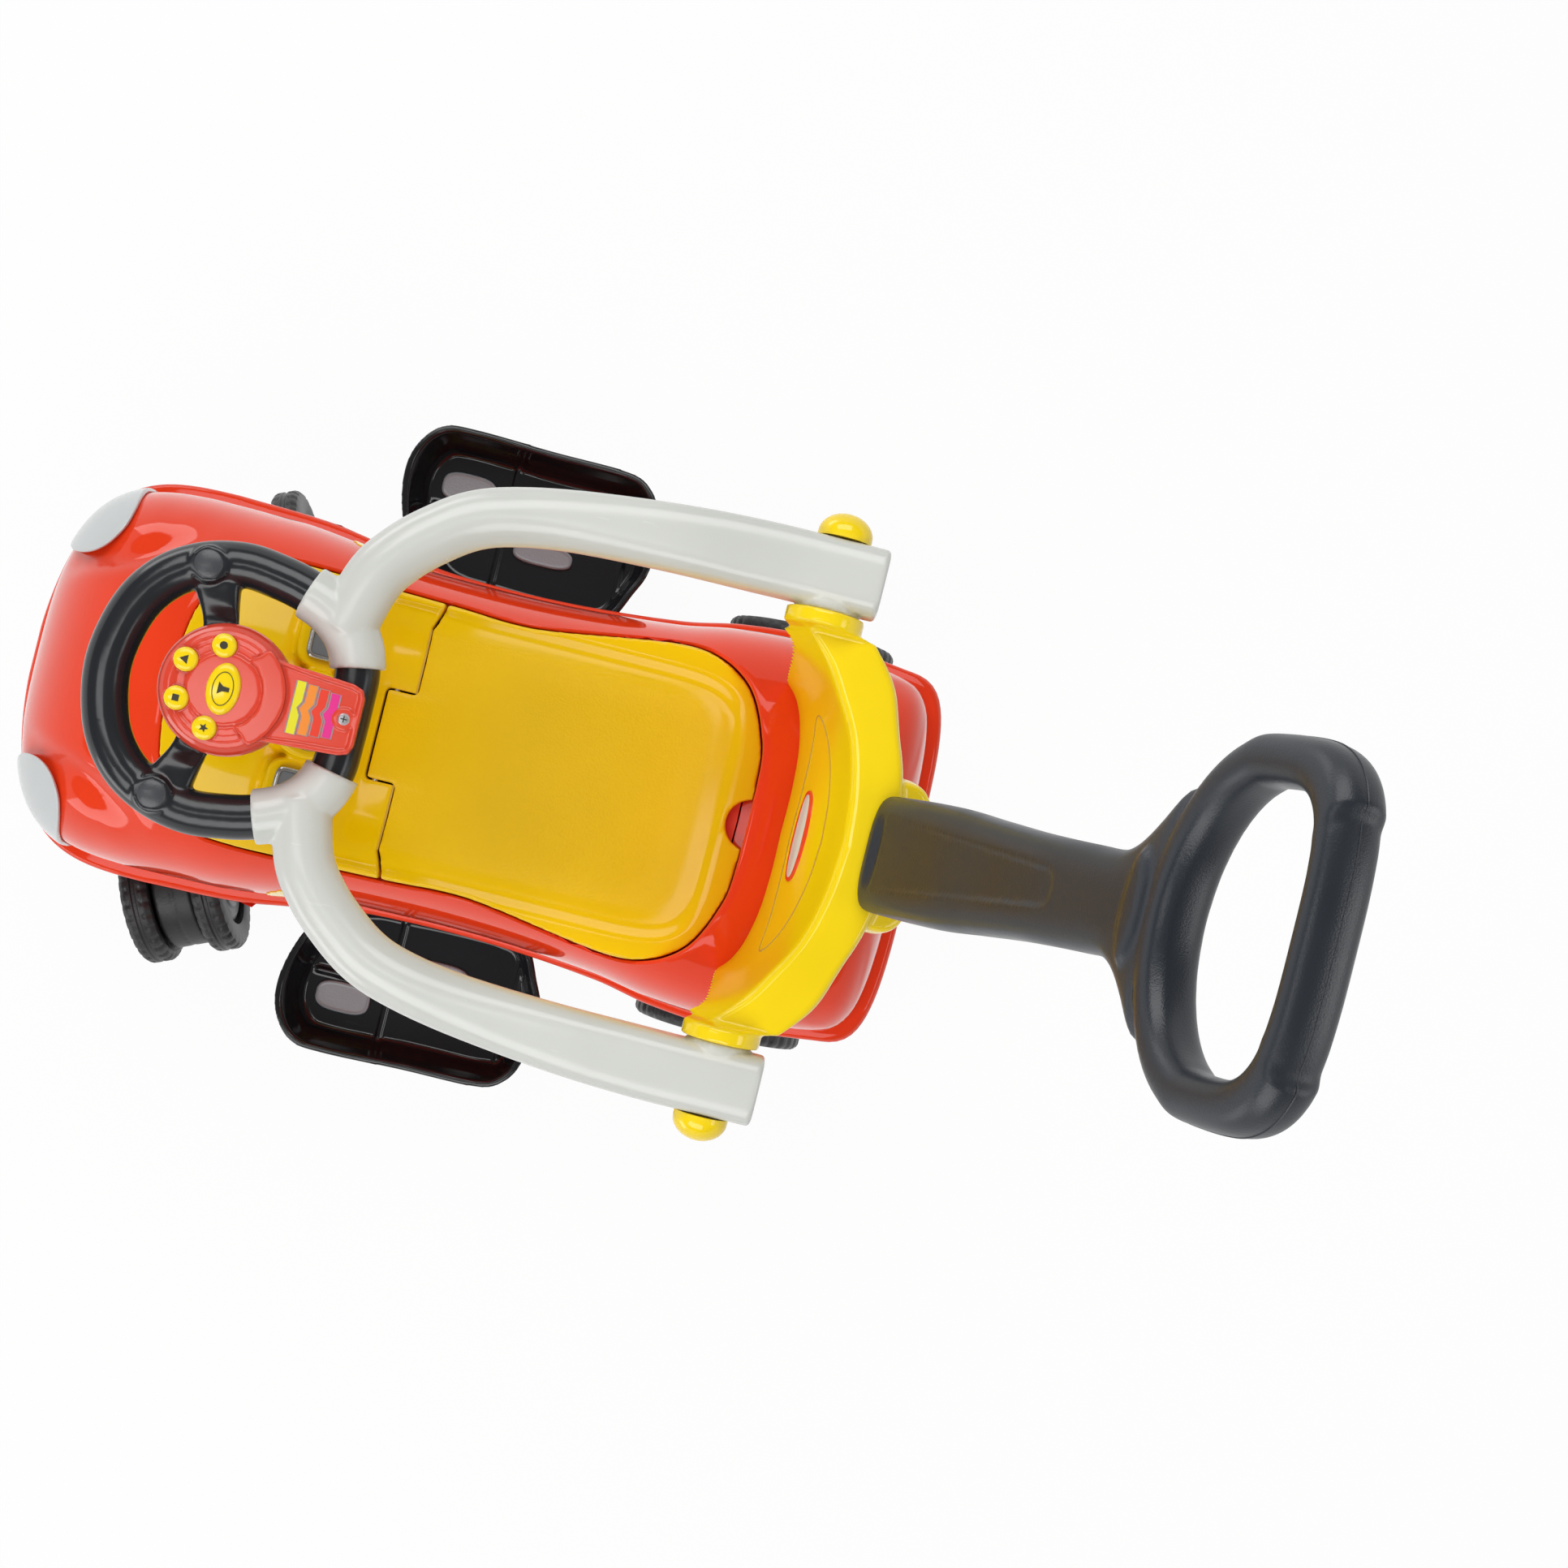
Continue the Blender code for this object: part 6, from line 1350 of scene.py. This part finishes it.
def tyre(radius, inner, outer, bore, dish, dish_radius, blocks, axis, centre):
    """Wheel with a grooved tread on both shoulders and a dished outer face."""
    middle = 0.5 * (inner + outer)
    profile = [(bore, inner), (radius * 0.62, inner), (radius * 0.64, inner + 0.001),
               (radius - 0.008, inner + 0.001), (radius - 0.006, inner), (radius - 0.0028, inner + 0.0006),
               (radius - 0.0008, inner + 0.0026)]
    for k in range(13):
        height = mix(inner + 0.0045, outer - 0.0045, k / 12)
        groove = 0.001 if abs(height - middle) < 0.0012 else 0.0
        profile.append((radius - groove, height))
    profile += [(radius - 0.0008, outer - 0.0026), (radius - 0.0028, outer - 0.0006), (radius - 0.006, outer),
                (dish_radius + 0.002, outer), (dish_radius + 0.0004, outer - 0.0008),
                (dish_radius, outer - dish), (bore, outer - dish)]
    shape = turned(profile, blocks * 6, axis, centre)
    around = {"X": 0, "Y": 1}[axis]
    in_plane = [k for k in range(3) if k != around]
    for vert in shape.verts:
        local = vert.co - Vector(centre)
        flat = [local[k] for k in in_plane]
        reach = math.hypot(*flat)
        block = math.atan2(flat[1], flat[0]) / (2.0 * math.pi) * blocks
        aside = abs(local[around] - middle) / (outer - inner)
        if reach > radius - 0.004 and (block + 0.35 * aside) % 1.0 < 0.34 and aside > 0.17:
            for k in in_plane:
                vert.co[k] -= local[k] / reach * 0.0009
    return shape


def make_rear_wheels():
    """Rear wheels with their grey discs."""
    centre = (REAR_X, 0.0, REAR_WHEEL_RADIUS)
    inner = REAR_WHEEL_OUTER_Y - REAR_WHEEL_WIDTH
    face = REAR_WHEEL_OUTER_Y - 0.0097
    disc = [(0.0, 0.0), (0.0335, 0.0), (0.0348, 0.0012), (0.0345, 0.0028), (0.0325, 0.0054), (0.03, 0.0062),
            (0.0285, 0.0052), (0.0265, 0.0052), (0.0245, 0.007), (0.012, 0.008), (0.0095, 0.0066),
            (0.007, 0.0066), (0.005, 0.0082), (0.0, 0.0085)]
    disc = [(radius, face + height) for radius, height in disc]
    for name, side in SIDES:
        body = "rear_wheel_" + name
        wheel = tyre(REAR_WHEEL_RADIUS, inner, REAR_WHEEL_OUTER_Y, 0.005, 0.01, 0.038, 36, "Y", centre)
        piece(body + "_skin", flipped(wheel, side), TYRE, body, [body], 30.0)
        piece(body + "_disc", flipped(turned(disc, 80, "Y", centre), side), GREY, body,
              ["rear_wheel_cap_" + name])


def make_caster(name, side):
    """Caster with its drum-shaped fork between two wheels, turned as in the photograph."""
    place = Matrix.Translation((CASTER_X, side * CASTER_Y, 0.0)) @ Matrix.Rotation(CASTER_TURN, 4, "Z")
    centre = (0.0, CASTER_TRAIL, CASTER_WHEEL_RADIUS)
    half, radius = 0.5 * CASTER_DRUM_WIDTH, CASTER_DRUM_RADIUS
    body = "caster_" + name
    drum = [(0.0, -half), (radius - 0.002, -half), (radius, -half + 0.002), (radius, -0.0012),
            (radius - 0.001, -0.0005), (radius - 0.001, 0.0005), (radius, 0.0012), (radius, half - 0.002),
            (radius - 0.002, half), (0.0, half)]
    foot = prism([(-0.03, -0.04), (0.03, -0.04), (0.03, 0.08), (-0.03, 0.08)], -0.01, 0.016)
    forms = [carved(turned(drum, 96, "X", centre), foot),
             rod(0.013, CASTER_WHEEL_RADIUS, FRONT_SKIRT_HEIGHT - 0.0078, 64)]
    fused(body + "_skin", [moved(form, place) for form in forms], 0.0012, TYRE, body,
          ["caster_housing_" + name], 3)
    inner = half + 0.0005
    outer = inner + CASTER_WHEEL_WIDTH
    face = outer - 0.0057
    disc = [(0.0, 0.0), (0.0262, 0.0), (0.0266, 0.0016), (0.024, 0.003), (0.0215, 0.0034), (0.02, 0.0024),
            (0.0185, 0.0024), (0.017, 0.0038), (0.0, 0.0044)]
    disc = [(reach, face + height) for reach, height in disc]
    for end, way in (("front", 1.0), ("rear", -1.0)):
        onto = place @ Matrix.Scale(way, 4, (1.0, 0.0, 0.0))
        wheel = tyre(CASTER_WHEEL_RADIUS, inner, outer, 0.0045, 0.006, 0.03, 30, "X", centre)
        rider = "caster_wheel_%s_%s" % (name, end)
        piece(rider + "_skin", moved(wheel, onto), TYRE, rider, [rider], 30.0)
        piece(rider + "_disc", moved(turned(disc, 72, "X", centre), onto), GREY, rider,
              ["caster_cap_%s_%s" % (name, end)])


def make_headlamp(name, side):
    """Plain pale lens wrapped round the front corner."""
    outline = smooth_path([(x, side * y) for x, y in LAMP_OUTLINE], 8, closed=True)
    lens = carved(grown(upper_solid(LAMP_START_X), 0.0034), prism(outline, 0.15, 0.4), operation="INTERSECT")
    lens = carved(lens, grown(upper_solid(LAMP_START_X), 0.0002), flange_solid(0.0002))
    fused(name + "_skin", [lens], 0.0007, LENS, "car", [name], 5)


def make_side_label(name, side):
    """Plain scalloped disc on the body's side, half hidden by the rail."""
    outline = []
    for turn in circle_turns(240):
        reach = 0.027 + 0.001 * math.cos(20.0 * turn)
        outline.append((0.143 + reach * math.cos(turn), 0.171 + reach * math.sin(turn)))
    disc = loft([[(x, side * y, z) for x, z in outline] for y in (0.06, 0.16)])
    start = TAIL_X + LEDGE_WIDTH
    label = carved(grown(upper_solid(start), 0.0007), disc, operation="INTERSECT")
    label = carved(label, grown(upper_solid(start), 0.0001))
    piece("side_label_" + name, label, YELLOW, "car")


def dress_frame():
    """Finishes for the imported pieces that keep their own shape."""
    finishes = {"floor_pan": BLACK, "storage_bin": RED, "seat_hinge_pin": STEEL, "circuit_board": GREEN,
                "hub_screw": STEEL, "handle_bolt": STEEL, "rear_axle": STEEL}
    for name, _ in SIDES:
        finishes["axle_bush_" + name] = WHITE
        finishes["caster_stem_" + name] = STEEL
        finishes["caster_axle_" + name] = STEEL
    for node, finish in finishes.items():
        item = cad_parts[node]
        item.data.materials.clear()
        item.data.materials.append(finish)


def softbox(name, place, target, width, height, power):
    light = bpy.data.lights.new(name, "AREA")
    light.shape = "RECTANGLE"
    light.size = width
    light.size_y = height
    light.energy = power
    item = bpy.data.objects.new(name, light)
    item.location = place
    item.rotation_euler = (Vector(target) - Vector(place)).to_track_quat("-Z", "Y").to_euler()
    bpy.context.collection.objects.link(item)


def paper_material():
    """White paper that lights itself where the camera or a mirrored ray sees it."""
    paper = bpy.data.materials.new("studio_paper")
    paper.use_nodes = True
    tree = paper.node_tree
    shader = tree.nodes["Principled BSDF"]
    shader.inputs["Base Color"].default_value = (0.86, 0.86, 0.86, 1.0)
    shader.inputs["Roughness"].default_value = 0.9
    shader.inputs["Specular IOR Level"].default_value = 0.1
    glow = tree.nodes.new("ShaderNodeEmission")
    glow.inputs["Color"].default_value = (1.0, 1.0, 1.0, 1.0)
    glow.inputs["Strength"].default_value = 1.0
    rays = tree.nodes.new("ShaderNodeLightPath").outputs
    seen = calculated(tree, "MAXIMUM", rays["Is Camera Ray"], rays["Is Glossy Ray"])
    seen = calculated(tree, "MAXIMUM", seen, rays["Is Transmission Ray"])
    blend = tree.nodes.new("ShaderNodeMixShader")
    tree.links.new(calculated(tree, "MULTIPLY", seen, FLOOR_GLOW), blend.inputs["Fac"])
    tree.links.new(shader.outputs["BSDF"], blend.inputs[1])
    tree.links.new(glow.outputs["Emission"], blend.inputs[2])
    tree.links.new(blend.outputs["Shader"], tree.nodes["Material Output"].inputs["Surface"])
    return paper


def make_floor():
    shape = bmesh.new()
    bmesh.ops.create_grid(shape, x_segments=2, y_segments=2, size=6.0)
    floor = mesh_object("studio_floor", shape)
    floor.location = (0.0, 0.0, -0.0005)
    floor.data.materials.append(paper_material())


def make_world():
    """Surround that lights softly, and looks white to the camera and in low mirrored rays."""
    world = bpy.data.worlds.new("studio")
    bpy.context.scene.world = world
    world.use_nodes = True
    tree = world.node_tree
    background = tree.nodes["Background"]
    background.inputs["Color"].default_value = (1.0, 1.0, 1.0, 1.0)
    rays = tree.nodes.new("ShaderNodeLightPath").outputs
    place = tree.nodes.new("ShaderNodeSeparateXYZ")
    tree.links.new(tree.nodes.new("ShaderNodeTexCoord").outputs["Generated"], place.inputs["Vector"])
    low = calculated(tree, "LESS_THAN", place.outputs["Z"], MIRRORED_HEIGHT)
    mirrored_rays = calculated(tree, "MAXIMUM", rays["Is Glossy Ray"], rays["Is Transmission Ray"])
    mirrored_rays = calculated(tree, "MULTIPLY", mirrored_rays, low)
    seen = calculated(tree, "MAXIMUM", rays["Is Camera Ray"], mirrored_rays)
    strength = calculated(tree, "MULTIPLY", seen, SURROUND_SHOWN)
    strength = calculated(tree, "ADD", strength, SURROUND_LIGHT)
    tree.links.new(strength, background.inputs["Strength"])


def make_lights():
    for name, side in SIDES:
        softbox("softbox_" + name, (0.18, side * 1.05, 1.55), (0.05, 0.0, 0.25), 1.6, 0.85, 14.5)
        softbox("softbox_front_" + name, (1.3, side * 1.4, 0.44), (0.25, side * 0.09, 0.24), 1.1, 0.55, 5.5)
    softbox("softbox_top", (0.43, 0.05, 1.8), (-0.05, 0.0, 0.25), 0.18, 0.8, 1.7)
    softbox("softbox_rear", (-1.7, 0.1, 1.3), (-0.1, 0.0, 0.3), 0.9, 0.5, 4.0)


def make_camera():
    camera = bpy.data.cameras.new("camera")
    camera.lens = CAMERA_LENS
    camera.sensor_width = 36.0
    camera.shift_x, camera.shift_y = CAMERA_SHIFT
    item = bpy.data.objects.new("camera", camera)
    item.location = CAMERA_SPOT
    item.rotation_euler = (0.0, 0.0, CAMERA_TURN)
    bpy.context.collection.objects.link(item)
    bpy.context.scene.camera = item
    bpy.context.scene.view_settings.view_transform = "Standard"


dress_frame()
make_body()
make_seat()
make_dash()
make_gauge()
make_windows()
make_wheel_ring()
make_hub()
make_bars()
make_buttons()
make_icons()
make_under_hub()
for side_name, side_sign in SIDES:
    make_rail("rail_" + side_name, side_sign)
    make_knob("rail_knob_" + side_name, side_sign)
    make_tray(side_name, side_sign)
    make_caster(side_name, side_sign)
    make_headlamp("headlamp_" + side_name, side_sign)
    make_side_label(side_name, side_sign)
make_backrest()
make_badge()
make_handle()
make_handle_seam()
make_rear_wheels()
make_floor()
make_world()
make_lights()
make_camera()
